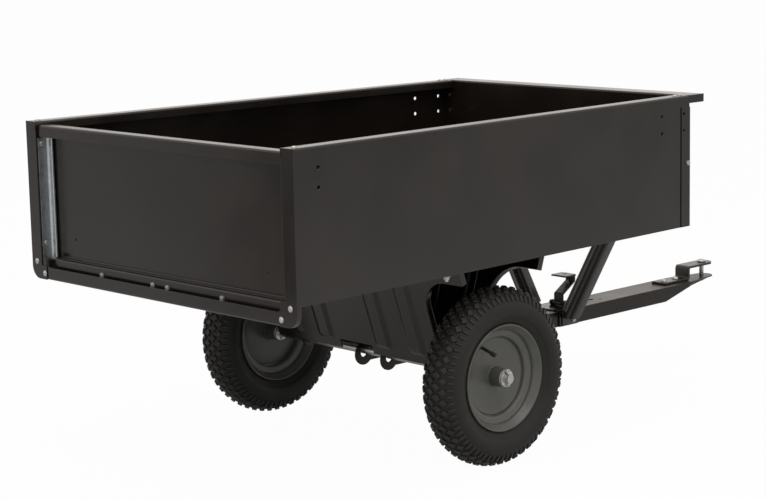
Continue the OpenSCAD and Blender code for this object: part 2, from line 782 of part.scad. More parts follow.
module front_panel() {
  color(paint) in_deck() difference() {
    union() {
      along_y(-front_half_w, 2 * front_half_w) folded([[bed_len + sheet_t / 2, 0],
        [bed_len + sheet_t / 2, side_h - sheet_t / 2],
        [bed_len + lip_depth - sheet_t / 2, side_h - sheet_t / 2],
        [bed_len + lip_depth - sheet_t / 2, side_h - lip_drop]], sheet_t, bend_r);
      box([bed_len - front_flange, side_flange_w + bend_r - front_half_w, 0],
        [front_x, front_half_w - side_flange_w - bend_r, sheet_t]);
      both_sides() {
        on_side() along_z(0, side_h - wrap_drop)
          rect([side_len - wrap_w, 0], [side_len + sheet_t, sheet_t]);
        box([bed_len, front_half_w - 2 * bend_r, 0],
          [front_x, front_half_w + sheet_t / 2, side_h - wrap_drop]);
        along_y(front_half_w - sheet_t, sheet_t)
          rect([bed_len, side_h - lip_drop], [bed_len + lip_depth, side_h]);
        box([bed_len - tab_len, front_half_w - sheet_t - tab_w - bend_r, side_h - 2 * sheet_t],
          [front_x, front_half_w - sheet_t - bend_r, side_h - sheet_t]);
      }
    }
    strut_holes();
    both_sides() {
      wrap_hole();
      stake_holes();
      front_rim_holes();
    }
  }
}

// Frame of a pan's sheet: x down the slope, y across, z out of the outer face
module on_slope() {
  translate([axle_x - pan_top_dx, 0, 0]) rotate([0, 90 - pan_slope, 0]) mirror([0, 0, 1]) children();
}

module pan_outline(inset, notch) {
  difference() {
    rect([0, -pan_top_half + inset], [pan_len, pan_top_half - inset]);
    for (k = [0, 1]) mirror([0, k]) {
      translate([arc_s, arc_y]) circle(r = pan_arc_r + inset, $fn = 128);
      rect([arc_s, pan_bot_half - inset], [pan_len + cut, rear_half_w]);
      rect([pan_horn - inset, arc_y], [pan_len + cut, rear_half_w]);
    }
    rect([pan_len - notch, -notch_half], [pan_len + cut, notch_half]);
  }
}

module rib_slots(margin) {
  for (y = [-rib_y2, -rib_y1, rib_y1, rib_y2])
    rect([rib_end + margin, y - rib_w / 2 + margin],
      [pan_len - rib_end - notch_h - margin, y + rib_w / 2 - margin]);
}

// Pan turned toward the rear, with gussets at gy from the middle and a notch of the given height
module pan(gy, notch) {
  color(paint) difference() {
    union() {
      on_slope() {
        linear_extrude(pan_t) difference() {
          pan_outline(0, notch);
          rib_slots(pan_t);
        }
        linear_extrude(rib_h) difference() {
          rib_slots(0);
          rib_slots(pan_t);
        }
        translate([0, 0, rib_h - pan_t]) linear_extrude(pan_t) rib_slots(0);
        translate([0, 0, -pan_edge]) linear_extrude(pan_edge + cut) difference() {
          pan_outline(0, notch);
          pan_outline(pan_t, notch);
          rect([pan_len - 2 * notch_h, -pan_top_half], [pan_len, pan_top_half]);
          rect([0, -pan_top_half], [pan_edge * tan(pan_slope) + pan_t, pan_top_half]);
        }
      }
      box([pan_flange_x, -pan_flange_half, sheet_t - pan_t],
        [axle_x - pan_top_dx + pan_t, pan_flange_half, sheet_t]);
      both_sides() along_y(gy, pan_t) {
        translate([axle_x, -axle_drop]) circle(r = gusset_r);
        polygon([slope_point(pan_len - gusset_up), slope_point(pan_len - pan_t),
          [axle_x - gusset_r * cos(60), -axle_drop - gusset_r * sin(60)],
          [axle_x + gusset_r * cos(60), gusset_r * sin(60) - axle_drop]]);
      }
    }
    translate([axle_x, 0, -axle_drop]) across(axle_r + axle_hole_gap, 2 * axle_half);
    translate([0, 0, -sheet_t]) pan_holes();
    translate([-rear_half_w, -rear_half_w, sheet_t]) cube([bed_len, 2 * rear_half_w, side_h]);
    both_sides() box([0, pan_flange_half, -sheet_gap], [bed_len, rear_half_w, side_h]);
  }
}

function slope_point(s) = [axle_x - pan_top_dx + s * sin(pan_slope), -s * cos(pan_slope)];

module rear_axle_pan() in_deck() pan(gusset_y, notch_h);
module front_axle_pan() in_deck()
  translate([2 * axle_x, 0, 0]) mirror([1, 0, 0]) pan(gusset_y - pan_t - sheet_gap, 0);

module axle() {
  color(steel) in_deck() translate([axle_x, 0, -axle_drop]) difference() {
    across(axle_r, 2 * axle_half);
    both_sides() for (y = [cotter_y, cotter_in_y]) translate([0, y, -2 * axle_r])
      cylinder(r = cotter_r + bolt_gap, h = 4 * axle_r);
  }
}

module strut() {
  rise = [strut_top_y - strut_foot_y, -bar_bottom];
  l = norm(rise);
  lean = atan(rise[0] / rise[1]);
  foot_y = saddle_half + strut_t;
  color(paint) difference() {
    union() {
      intersection() {
        translate([strut_x, strut_foot_y, bar_bottom]) rotate([-lean, 0, 0]) difference() {
          box([-strut_depth / 2, -strut_w / 2, -strut_w], [strut_depth / 2, strut_w / 2, l + strut_w]);
          box([strut_t - strut_depth / 2, strut_t - strut_w / 2, -2 * strut_w],
            [strut_depth, strut_w / 2 - strut_t, l + 2 * strut_w]);
        }
        box([0, saddle_half + strut_t / 2, bar_top - strut_end], [bed_len, rear_half_w, -strut_t / 2]);
      }
      box([strut_x - strut_depth / 2 - strut_t, saddle_half, bar_bottom],
        [stud_x + 2 * head_r, foot_y, bar_top]);
      box([strut_x - strut_depth / 2 - strut_t, strut_top_y - strut_plate / 2, -strut_t],
        [strut_bolt_x + 2 * head_r, strut_top_y + strut_plate / 2, 0]);
    }
    translate([stud_x, saddle_half, stud_z]) across(hole_r, 4 * strut_t);
    strut_holes();
  }
}

module left_strut() in_deck() strut();
module right_strut() in_deck() right_hand() strut();

module latch_slot() {
  rect([latch_x - slot_rear, -slot_half], [latch_x + slot_front, slot_half]);
}

module latch_saddle() {
  color(paint) in_deck() difference() {
    union() {
      box([saddle_x, -saddle_half, saddle_z],
        [saddle_x + saddle_len, saddle_half, saddle_z + saddle_t]);
      both_sides() {
        box([saddle_x, saddle_half - saddle_t, bar_bottom],
          [saddle_x + saddle_len, saddle_half, saddle_z + saddle_t]);
        along_y(slot_half + lug_t, lug_t) {
          translate([latch_x, latch_z]) circle(r = lug_r);
          rect([latch_x - lug_r, saddle_z], [latch_x + lug_r, latch_z]);
        }
      }
    }
    along_z(saddle_z - saddle_t, 3 * saddle_t) latch_slot();
    translate([latch_x, 0, latch_z]) across(latch_pin_d / 2 + bolt_gap, 2 * saddle_half);
    both_sides() translate([stud_x, saddle_half, stud_z]) across(hole_r, 4 * strut_t);
  }
}

module latch_pivot_bolt() {
  reach = slot_half + 2 * lug_t;
  color(zinc) in_deck() translate([latch_x, 0, latch_z]) {
    across(latch_pin_d / 2, 2 * reach + 2 * nut_h);
    both_sides() translate([0, reach + nut_h / 2 + sheet_gap / 2, 0]) rotate([90, 0, 0])
      cylinder(r = head_r, h = nut_h - sheet_gap, center = true, $fn = hex);
  }
}

module latch_lever() {
  knuckle_r = latch_pin_d / 2 + latch_t;
  top = latch_rise + latch_climb + pad_rise;
  pad_front = latch_reach + latch_t / 2;
  color(paint) in_deck() translate([latch_x, 0, latch_z]) difference() {
    union() {
      across(knuckle_r, latch_w);
      along_y(-latch_w / 2, latch_w) {
        folded([[0, 0], [0, latch_rise], [latch_reach, latch_rise + latch_climb], [latch_reach, top],
          [latch_reach - 3 * latch_t, top]], latch_t, latch_t);
        rect([-latch_t / 2, -nose_top - nose_h], [latch_t / 2, 0]);
        rect([-latch_t / 2, -nose_top - nose_h], [nose_reach, -nose_top]);
      }
      box([pad_front - pad_w, -pad_w / 2, top - latch_t / 2],
        [pad_front - 2 * latch_t, pad_w / 2, top + latch_t / 2]);
    }
    across(latch_pin_d / 2 + axle_gap, 2 * latch_w);
    translate([pad_front - pad_w / 2, 0, top - latch_t]) cylinder(r = pad_hole_d / 2, h = 2 * latch_t);
  }
}

module tongue() {
  wall_x = tip_x - wall_front;
  slope_x = tip_x - wall_slope;
  color(paint) in_deck() difference() {
    union() {
      both_sides() along_y(bar_half - bar_t, bar_t) {
        translate([axle_x, ear_z]) circle(r = ear_r);
        polygon([[axle_x, bar_top], [wall_x, bar_top], [wall_x, bar_top - wall_front_h],
          [slope_x, bar_bottom], [axle_x, bar_bottom]]);
      }
      along_z(bar_top - bar_t, bar_t) {
        polygon([[axle_x + plate_start, -bar_half], [tip_x - tip_taper, -bar_half], [tip_x - tip_r, -tip_r],
          [tip_x - tip_r, tip_r], [tip_x - tip_taper, bar_half], [axle_x + plate_start, bar_half]]);
        translate([tip_x - tip_r, 0]) circle(r = tip_r);
      }
    }
    for (z = [0, -ear_slot]) translate([axle_x, 0, z - axle_drop]) across(axle_r + axle_gap, 2 * bar_w);
    box([axle_x - axle_r - axle_gap, -bar_w, -axle_drop - ear_slot],
      [axle_x + axle_r + axle_gap, bar_w, -axle_drop]);
    along_z(bar_top - 2 * bar_t, 3 * bar_t) {
      latch_slot();
      for (k = [-1, 1])
        translate([tip_x - oval_in + k * (oval_len - oval_w) / 2, 0]) circle(r = oval_w / 2);
      translate([tip_x - oval_in, 0]) square([oval_len - oval_w, oval_w], center = true);
      translate([tip_x - small_in, -small_y]) circle(r = small_d / 2);
      for (d = [strap_bolt1, strap_bolt2]) translate([tip_x - d, 0]) circle(r = hole_r);
      translate([pin_x, 0]) circle(r = pin_d / 2 + pin_gap);
    }
  }
}

module hitch_strap() {
  m = strap_t / 2;
  rise_x = tip_x - strap_rise;
  front = tip_x - strap_front - strap_w / 2;
  color(paint) in_deck() difference() {
    union() {
      along_y(-strap_w / 2, strap_w) folded([[tip_x - strap_rear, bar_top + m], [rise_x + m, bar_top + m],
        [rise_x + m, upper_z + m], [front, upper_z + m]], strap_t, strap_t);
      translate([front, 0, upper_z]) cylinder(r = strap_w / 2, h = strap_t);
    }
    for (d = [strap_bolt1, strap_bolt2])
      translate([tip_x - d, 0, bar_top - strap_t]) cylinder(r = hole_r, h = 3 * strap_t);
    translate([pin_x, 0, upper_z - strap_t]) cylinder(r = pin_d / 2 + pin_gap, h = 3 * strap_t);
  }
}

module hitch_bolts() {
  color(zinc) in_deck() for (d = [strap_bolt1, strap_bolt2])
    translate([tip_x - d, 0, bar_top + strap_t]) fastener(strap_t + bar_t);
}

module hitch_pin() {
  color(zinc) in_deck() translate([pin_x, 0, 0]) difference() {
    union() {
      translate([0, 0, pin_low]) cylinder(r = pin_d / 2, h = strap_top + rest_gap - pin_low + cut);
      translate([0, 0, strap_top + rest_gap]) cylinder(r = pin_head_d / 2, h = pin_head_h);
    }
    translate([-pin_d, 0, hair_z]) forward(hair_d / 2 + pin_gap, 2 * pin_d);
  }
}

module hairpin() {
  r = hair_d / 2;
  side_y = pin_d / 2 + hair_d;
  color(zinc) in_deck() translate([pin_x, 0, hair_z]) {
    translate([-hair_rear, 0, 0]) forward(r, hair_rear + hair_front);
    translate([-hair_rear, side_y / 2, 0]) rotate([0, 0, 90])
      rotate_extrude(angle = 180) translate([side_y / 2, 0]) circle(r = r, $fn = 24);
    translate([-hair_rear, side_y, 0]) forward(r, hair_rear + hair_front / 2);
  }
}

// Frame of the left wheel: z outward along the axle from the wheel's middle plane
module on_wheel() {
  translate([axle_x, wheel_y, -axle_drop]) rotate([-90, 0, 0]) children();
}

// Rectangle with rounded corners between two radii, centred on the middle plane
module band(r1, r2, w, c) {
  rect([r1 + c, -w / 2], [r2 - c, w / 2]);
  rect([r1, c - w / 2], [r2, w / 2 - c]);
  for (x = [r1 + c, r2 - c], y = [c - w / 2, w / 2 - c]) translate([x, y]) circle(r = c);
}

module tyre() {
  inner = rim_width / 2 - rim_t - bead_gap;
  low = rim_r + 2 * bead_gap;
  color(tyre_black) on_wheel() rotate_extrude($fn = 128) {
    difference() {
      union() {
        band(low, tyre_r, tyre_w, tyre_shoulder);
        polygon([[seat_r + bead_gap + rim_t, -inner], [low + tyre_shoulder, -inner],
          [low + tyre_shoulder, inner],
          [seat_r + bead_gap + rim_t, inner], [seat_r + bead_gap, inner - rim_t],
          [seat_r + bead_gap, rim_t - inner]]);
      }
      band(low + tyre_wall, tyre_r - tyre_wall, tyre_w - 2 * tyre_wall, tyre_shoulder - tyre_wall);
      rect([seat_r, bead_w - inner], [low + tyre_shoulder, inner - bead_w]);
    }
  }
}

module tube_band(inset) {
  band(rim_r + 2 * bead_gap + tyre_wall + inset, tyre_r - tyre_wall - inset,
    tyre_w - 2 * tyre_wall - 2 * inset,
    tyre_shoulder - tyre_wall - inset);
}

// Frame at the valve's foot on the rim's well, z toward the axle
module at_valve() {
  rotate([0, 0, valve_angle]) translate([well_r, 0, valve_y]) rotate([0, -90, 0]) children();
}

// Frame at the valve's foot, z along the stem as it turns outward
module along_stem() {
  at_valve() translate([0, 0, valve_drop]) rotate([0, valve_lean, 0]) children();
}

module inner_tube() {
  color(rubber_black) on_wheel() {
    rotate_extrude($fn = 128) difference() {
      tube_band(tube_gap);
      tube_band(tube_gap + tube_wall);
    }
    at_valve() {
      translate([0, 0, well_r - rim_r - tyre_wall - tube_gap - tube_wall])
        cylinder(r = valve_r, h = rim_r + tyre_wall + tube_gap + tube_wall - well_r + valve_drop);
      translate([0, 0, valve_drop]) sphere(r = valve_r + valve_ball);
    }
    along_stem() cylinder(r = valve_r, h = valve_len);
  }
}

module rim() {
  m = rim_t / 2;
  e = rim_width / 2 - m;
  s = seat_r - m;
  color(rim_grey) on_wheel() difference() {
    union() {
      rotate_extrude($fn = 128)
        folded([[rim_r, e], [s, e], [s, e - seat_w], [well_r, well_half],
          [well_r, -well_half], [s, seat_w - e],
          [s, -e], [rim_r, -e]], rim_t, rim_t);
      rotate_extrude($fn = 128) rect([hub_r + fit_gap, -disc_in - m], [well_r, m - disc_in]);
    }
    at_valve() translate([0, 0, well_r - rim_r])
      cylinder(r = valve_r + bolt_gap, h = rim_r - well_r + 2 * rim_t);
  }
}

module hub() {
  color(rim_grey) on_wheel() difference() {
    cylinder(r = hub_r, h = 2 * hub_half, center = true);
    cylinder(r = bush_r + fit_gap, h = 4 * hub_half, center = true);
  }
}

module bushings() {
  color(nylon) on_wheel() for (k = [0, 1]) mirror([0, 0, k]) difference() {
    union() {
      translate([0, 0, hub_half - bush_len]) cylinder(r = bush_r, h = bush_len + cut);
      translate([0, 0, hub_half]) cylinder(r = bush_flange_r, h = bush_flange);
    }
    cylinder(r = axle_r + axle_gap, h = 2 * hub_half);
  }
}

module valve_cap() {
  color(rubber_black) on_wheel() along_stem()
    translate([0, 0, valve_len + cap_len / 2]) mirror([0, 0, 1]) difference() {
    cylinder(r = valve_r + cap_wall, h = cap_len);
    translate([0, 0, cap_len / 2 - cut]) cylinder(r = valve_r + fit_gap, h = cap_len);
  }
}

module left_tyre() in_deck() tyre();
module right_tyre() in_deck() right_hand() tyre();
module left_inner_tube() in_deck() inner_tube();
module right_inner_tube() in_deck() right_hand() inner_tube();
module left_rim() in_deck() rim();
module right_rim() in_deck() right_hand() rim();
module left_hub() in_deck() hub();
module right_hub() in_deck() right_hand() hub();
module left_bushings() in_deck() bushings();
module right_bushings() in_deck() right_hand() bushings();
module left_valve_cap() in_deck() valve_cap();
module right_valve_cap() in_deck() right_hand() valve_cap();

module corner_bolts() {
  color(zinc) in_deck() both_sides() for (b = [corner_bolt1, corner_bolt2])
    translate([0, b[0], b[1]]) rotate([0, -90, 0]) round_bolt(2 * sheet_t);
}

module sill_bolts() {
  color(zinc) in_deck() for (y = [-sill_bolt_y2, -sill_bolt_y1, sill_bolt_y1, sill_bolt_y2])
    translate([floor_flange_x, y, -sill_bolt_z]) rotate([0, -90, 0]) fastener(2 * sheet_t);
}

module rim_bolts() {
  color(zinc) in_deck() both_sides() {
    translate([rim_bolt_rear, rear_half_w - rim_mid, side_h]) round_bolt(2 * sheet_t);
    for (x = front_rim_xs()) translate([x, half_at(x) - rim_mid, side_h]) round_bolt(2 * sheet_t);
  }
}

module wrap_bolts() {
  color(zinc) in_deck() both_sides() on_side()
    translate([side_len - wrap_bolt_in, sheet_t, wrap_bolt_z]) rotate([-90, 0, 0]) fastener(2 * sheet_t);
}

module guide_bolts() {
  color(zinc) in_deck() both_sides() for (z = [guide_bolt_z1, side_h - guide_bolt_z2])
    translate([guide_bolt_x, post_in - guide_t, z]) rotate([90, 0, 0]) fastener(guide_t + sheet_t);
}

module pan_bolts() {
  color(zinc) in_deck() both_sides() for (x = pan_bolt_xs, y = [pan_bolt_y1, pan_bolt_y2])
    translate([x, y, floor_top]) round_bolt(sheet_t + pan_t);
}

module strut_bolts() {
  color(zinc) in_deck() both_sides() for (y = strut_bolt_ys())
    translate([strut_bolt_x, y, floor_top]) round_bolt(2 * sheet_t + strut_t);
}

module saddle_studs() {
  y = saddle_half - saddle_t;
  color(zinc) in_deck() both_sides() translate([stud_x, y, stud_z]) rotate([-90, 0, 0]) {
    cylinder(r = bolt_r, h = saddle_t + strut_t + nut_h + thread_over);
    translate([0, 0, saddle_t + strut_t]) cylinder(r = head_r, h = nut_h, $fn = hex);
  }
}

module axle_washers() {
  color(galvanised) in_deck() both_sides()
    for (y = [hub_end + wheel_play, hub_inner - wheel_play - washer_t]) translate([axle_x, y, -axle_drop])
      rotate([-90, 0, 0]) difference() {
        cylinder(r = washer_r, h = washer_t);
        translate([0, 0, -washer_t]) cylinder(r = axle_r + axle_hole_gap, h = 3 * washer_t);
      }
}

module axle_cotters() {
  color(zinc) in_deck() both_sides() for (y = [cotter_y, cotter_in_y]) translate([axle_x, y, -axle_drop]) {
    translate([0, 0, -axle_r - 4 * cotter_r]) cylinder(r = cotter_r, h = 2 * axle_r + 5 * cotter_r);
    translate([0, 0, axle_r + 3 * cotter_r]) rotate([90, 0, 0]) rotate_extrude() translate([2 * cotter_r, 0])
      circle(r = cotter_r * 0.9, $fn = 24);
  }
}

floor_panel();
left_side_panel();
right_side_panel();
front_panel();
rear_sill();
tailgate();
left_tailgate_guide();
right_tailgate_guide();
left_inner_stop();
right_inner_stop();
rear_axle_pan();
front_axle_pan();
axle();
left_strut();
right_strut();
latch_saddle();
latch_pivot_bolt();
latch_lever();
tongue();
hitch_strap();
hitch_bolts();
hitch_pin();
hairpin();
left_tyre();
right_tyre();
left_inner_tube();
right_inner_tube();
left_rim();
right_rim();
left_hub();
right_hub();
left_bushings();
right_bushings();
left_valve_cap();
right_valve_cap();
corner_bolts();
sill_bolts();
rim_bolts();
wrap_bolts();
guide_bolts();
pan_bolts();
strut_bolts();
saddle_studs();
axle_washers();
axle_cotters();
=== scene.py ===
import bpy
import bmesh
import json
from math import radians, pi, sin, cos, atan2
from mathutils import Matrix, Vector


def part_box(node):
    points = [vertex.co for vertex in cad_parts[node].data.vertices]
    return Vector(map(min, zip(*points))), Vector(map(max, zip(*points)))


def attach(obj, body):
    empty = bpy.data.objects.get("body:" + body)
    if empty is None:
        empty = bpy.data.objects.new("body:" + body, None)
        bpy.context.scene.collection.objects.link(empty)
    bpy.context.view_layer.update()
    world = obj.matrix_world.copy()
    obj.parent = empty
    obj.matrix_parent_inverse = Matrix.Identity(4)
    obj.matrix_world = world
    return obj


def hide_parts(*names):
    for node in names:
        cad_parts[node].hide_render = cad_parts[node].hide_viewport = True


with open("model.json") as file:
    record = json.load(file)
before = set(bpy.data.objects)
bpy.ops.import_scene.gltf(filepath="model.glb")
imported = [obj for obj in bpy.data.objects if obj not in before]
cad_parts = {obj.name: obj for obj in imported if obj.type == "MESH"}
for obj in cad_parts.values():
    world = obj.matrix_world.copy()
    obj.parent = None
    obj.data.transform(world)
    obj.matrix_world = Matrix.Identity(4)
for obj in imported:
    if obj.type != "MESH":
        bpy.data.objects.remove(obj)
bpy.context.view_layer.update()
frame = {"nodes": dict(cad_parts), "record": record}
nodes = frame["nodes"]
print("stage 1: frame loaded,", len(nodes), "solids")

sides = ((1, "left"), (-1, "right"))
# where the wheels turn, in metres
axle = {"x": -0.310875, "z": 0.200, "wheelY": 0.375}

photoCamera = {
    "place": (-3.517155, -3.40434, 1.22619),
    "azimuth": -43.544, "elevation": 9.5385, "roll": -1.2313,
    "focalPixels": 2057.05, "imageWidth": 766, "sensor": 36.0, "reach": 60,
}


def placeCamera(spec):
    data = bpy.data.cameras.new("photoCamera")
    data.sensor_fit = "HORIZONTAL"
    data.sensor_width = spec["sensor"]
    data.lens = spec["sensor"] * spec["focalPixels"] / spec["imageWidth"]
    data.clip_end = spec["reach"]
    cam = bpy.data.objects.new("photoCamera", data)
    bpy.context.collection.objects.link(cam)
    turn = (Matrix.Rotation(radians(spec["azimuth"]), 4, "Z")
            @ Matrix.Rotation(radians(90 - spec["elevation"]), 4, "X")
            @ Matrix.Rotation(radians(spec["roll"]), 4, "Z"))
    cam.matrix_world = Matrix.Translation(spec["place"]) @ turn
    bpy.context.scene.camera = cam


placeCamera(photoCamera)
print("stage 2: camera placed")


# materials: every pattern reads Object coordinates, in metres;
# noises are given as (scale, detail) and bumps as (strength, distance)

def startMaterial(name):
    mat = bpy.data.materials.new(name)
    mat.use_nodes = True
    tree = mat.node_tree
    return mat, tree, tree.nodes["Principled BSDF"], tree.nodes.new("ShaderNodeTexCoord")


def addNoise(tree, coord, scale, detail, rough=0.55, stretch=None):
    tex = tree.nodes.new("ShaderNodeTexNoise")
    tex.inputs["Scale"].default_value = scale
    tex.inputs["Detail"].default_value = detail
    tex.inputs["Roughness"].default_value = rough
    where = coord.outputs["Object"]
    if stretch:
        mapping = tree.nodes.new("ShaderNodeMapping")
        mapping.inputs["Scale"].default_value = stretch
        tree.links.new(where, mapping.inputs["Vector"])
        where = mapping.outputs["Vector"]
    tree.links.new(where, tex.inputs["Vector"])
    return tex.outputs["Fac"]


def addTones(tree, source, span, first, second):
    ramp = tree.nodes.new("ShaderNodeValToRGB")
    for element, place, colour in zip(ramp.color_ramp.elements, span, (first, second)):
        element.position = place
        element.color = (*colour, 1)
    tree.links.new(source, ramp.inputs["Fac"])
    return ramp.outputs["Color"]


def addRange(tree, source, low, high, fromLow=0.3, fromHigh=0.7):
    node = tree.nodes.new("ShaderNodeMapRange")
    node.inputs["From Min"].default_value = fromLow
    node.inputs["From Max"].default_value = fromHigh
    node.inputs["To Min"].default_value = low
    node.inputs["To Max"].default_value = high
    tree.links.new(source, node.inputs["Value"])
    return node.outputs["Result"]


def addBump(tree, height, strength, distance, after=None):
    node = tree.nodes.new("ShaderNodeBump")
    node.inputs["Strength"].default_value = strength
    node.inputs["Distance"].default_value = distance
    tree.links.new(height, node.inputs["Height"])
    if after is not None:
        tree.links.new(after, node.inputs["Normal"])
    return node.outputs["Normal"]


def addMath(tree, operation, first, second):
    node = tree.nodes.new("ShaderNodeMath")
    node.operation = operation
    tree.links.new(first, node.inputs[0])
    tree.links.new(second, node.inputs[1])
    return node.outputs["Value"]


def addOver(tree, factor, under, over):
    # a plain colour laid over a patterned one
    node = tree.nodes.new("ShaderNodeMix")
    node.data_type = "RGBA"
    tree.links.new(factor, node.inputs["Factor"])
    tree.links.new(under, node.inputs["A"])
    node.inputs["B"].default_value = (*over, 1)
    return node.outputs["Result"]


edgeLook = {"samples": 4, "turned": 0.80, "flat": 0.97}


def addSoftEdge(tree, radius):
    bevel = tree.nodes.new("ShaderNodeBevel")
    bevel.samples = edgeLook["samples"]
    bevel.inputs["Radius"].default_value = radius
    return bevel.outputs["Normal"]


def addEdgeMask(tree, softNormal):
    # 1 where the rounded surface turns away from the true one
    geometry = tree.nodes.new("ShaderNodeNewGeometry")
    dot = tree.nodes.new("ShaderNodeVectorMath")
    dot.operation = "DOT_PRODUCT"
    tree.links.new(softNormal, dot.inputs[0])
    tree.links.new(geometry.outputs["True Normal"], dot.inputs[1])
    return addRange(tree, dot.outputs["Value"], 1.0, 0.0, edgeLook["turned"], edgeLook["flat"])


def linkSurface(tree, shader, colour, normal, rough=None):
    tree.links.new(colour, shader.inputs["Base Color"])
    tree.links.new(normal, shader.inputs["Normal"])
    if rough is not None:
        tree.links.new(rough, shader.inputs["Roughness"])


# what the four coats share
coatTexture = {
    "cloud": (5.0, 3), "peel": (420.0, 2), "wave": (2.6, 1), "fleck": (90.0, 3),
    "span": (0.35, 0.7), "fleckSpan": (0.45, 0.7), "wear": 0.55,
    "waveBump": (0.25, 0.004), "peelBump": (0.06, 0.0004),
}
powderCoat = {
    "dark": (0.0084, 0.0066, 0.0056), "warm": (0.0132, 0.0101, 0.0082), "worn": (0.060, 0.052, 0.046),
    "roughLow": 0.17, "roughHigh": 0.25, "edge": 0.0014, "shine": 0.5,
}
# pressings have wide bends, so their edges round off further
pressedCoat = {
    "dark": (0.0084, 0.0066, 0.0056), "warm": (0.0132, 0.0101, 0.0082), "worn": (0.024, 0.020, 0.017),
    "roughLow": 0.20, "roughHigh": 0.30, "edge": 0.0042, "shine": 0.5,
}
drawbarCoat = {
    "dark": (0.0085, 0.0064, 0.0052), "warm": (0.0150, 0.0112, 0.0088), "worn": (0.030, 0.024, 0.020),
    "roughLow": 0.26, "roughHigh": 0.36, "edge": 0.0042, "shine": 0.3,
}
# the struts wear a lighter copy of the dark paint: painted light standing in for the broad soft highlight on
# their webs
strutLitCoat = {
    "dark": (0.040, 0.037, 0.034), "warm": (0.056, 0.052, 0.048), "worn": (0.080, 0.073, 0.067),
    "roughLow": 0.26, "roughHigh": 0.36, "edge": 0.0014, "shine": 0.5,
}


def makePowderCoat(spec, texture, name):
    mat, tree, shader, coord = startMaterial(name)
    cloud = addNoise(tree, coord, *texture["cloud"])
    peel = addNoise(tree, coord, *texture["peel"])
    wave = addNoise(tree, coord, *texture["wave"])
    fleck = addNoise(tree, coord, *texture["fleck"])
    softNormal = addSoftEdge(tree, spec["edge"])
    wear = addRange(tree, fleck, 0.0, texture["wear"], *texture["fleckSpan"])
    worn = addMath(tree, "MULTIPLY", addEdgeMask(tree, softNormal), wear)
    colour = addTones(tree, cloud, texture["span"], spec["dark"], spec["warm"])
    colour = addOver(tree, worn, colour, spec["worn"])
    rough = addRange(tree, cloud, spec["roughLow"], spec["roughHigh"])
    normal = addBump(tree, wave, *texture["waveBump"], softNormal)
    normal = addBump(tree, peel, *texture["peelBump"], normal)
    linkSurface(tree, shader, colour, normal, rough)
    shader.inputs["Specular IOR Level"].default_value = spec["shine"]
    return mat


galvanised = {
    "pale": (0.50, 0.54, 0.56), "deep": (0.42, 0.455, 0.475), "roughLow": 0.30, "roughHigh": 0.42,
    "spangle": 150, "fine": (700, 2), "bump": (0.08, 0.0003), "edge": 0.0006, "metallic": 1.0,
}


def makeGalvanised(spec):
    mat, tree, shader, coord = startMaterial("galvanised")
    spangle = tree.nodes.new("ShaderNodeTexVoronoi")
    spangle.inputs["Scale"].default_value = spec["spangle"]
    tree.links.new(coord.outputs["Object"], spangle.inputs["Vector"])
    split = tree.nodes.new("ShaderNodeSeparateColor")
    tree.links.new(spangle.outputs["Color"], split.inputs["Color"])
    colour = addTones(tree, split.outputs["Red"], (0, 1), spec["deep"], spec["pale"])
    rough = addRange(tree, split.outputs["Green"], spec["roughLow"], spec["roughHigh"], 0, 1)
    fine = addNoise(tree, coord, *spec["fine"])
    normal = addBump(tree, fine, *spec["bump"], addSoftEdge(tree, spec["edge"]))
    linkSurface(tree, shader, colour, normal, rough)
    shader.inputs["Metallic"].default_value = spec["metallic"]
    return mat


zincPlate = {
    "bright": (0.52, 0.52, 0.505), "dull": (0.33, 0.33, 0.32), "roughLow": 0.26, "roughHigh": 0.42,
    "blotch": (160, 4), "span": (0.3, 0.65), "fine": (1600, 2), "bump": (0.06, 0.0002), "edge": 0.0009,
    "metallic": 0.65,
}


def makeZinc(spec):
    mat, tree, shader, coord = startMaterial("zincPlate")
    blotch = addNoise(tree, coord, *spec["blotch"])
    colour = addTones(tree, blotch, spec["span"], spec["dull"], spec["bright"])
    rough = addRange(tree, blotch, spec["roughHigh"], spec["roughLow"])
    fine = addNoise(tree, coord, *spec["fine"])
    normal = addBump(tree, fine, *spec["bump"], addSoftEdge(tree, spec["edge"]))
    linkSurface(tree, shader, colour, normal, rough)
    shader.inputs["Metallic"].default_value = spec["metallic"]
    return mat


drawnBar = {
    "bright": (0.60, 0.59, 0.57), "dull": (0.30, 0.29, 0.28), "roughLow": 0.24, "roughHigh": 0.42,
    "streak": (12, 5, 0.6), "stretch": (60, 2, 60), "span": (0.3, 0.7), "bump": (0.05, 0.0003),
    "metallic": 1.0,
}


def makeDrawnBar(spec):
    mat, tree, shader, coord = startMaterial("drawnBar")
    streak = addNoise(tree, coord, *spec["streak"], spec["stretch"])
    colour = addTones(tree, streak, spec["span"], spec["dull"], spec["bright"])
    rough = addRange(tree, streak, spec["roughHigh"], spec["roughLow"])
    linkSurface(tree, shader, colour, addBump(tree, streak, *spec["bump"]), rough)
    shader.inputs["Metallic"].default_value = spec["metallic"]
    return mat


rimPaint = {
    "low": (0.072, 0.076, 0.070), "high": (0.094, 0.098, 0.092), "roughLow": 0.30, "roughHigh": 0.40,
    "cloud": (14, 4), "span": (0.35, 0.65), "grain": (600, 2), "bump": (0.05, 0.0003), "edge": 0.0008,
}


def makeRimPaint(spec):
    mat, tree, shader, coord = startMaterial("rimPaint")
    cloud = addNoise(tree, coord, *spec["cloud"])
    colour = addTones(tree, cloud, spec["span"], spec["low"], spec["high"])
    rough = addRange(tree, cloud, spec["roughLow"], spec["roughHigh"])
    grain = addNoise(tree, coord, *spec["grain"])
    normal = addBump(tree, grain, *spec["bump"], addSoftEdge(tree, spec["edge"]))
    linkSurface(tree, shader, colour, normal, rough)
    return mat


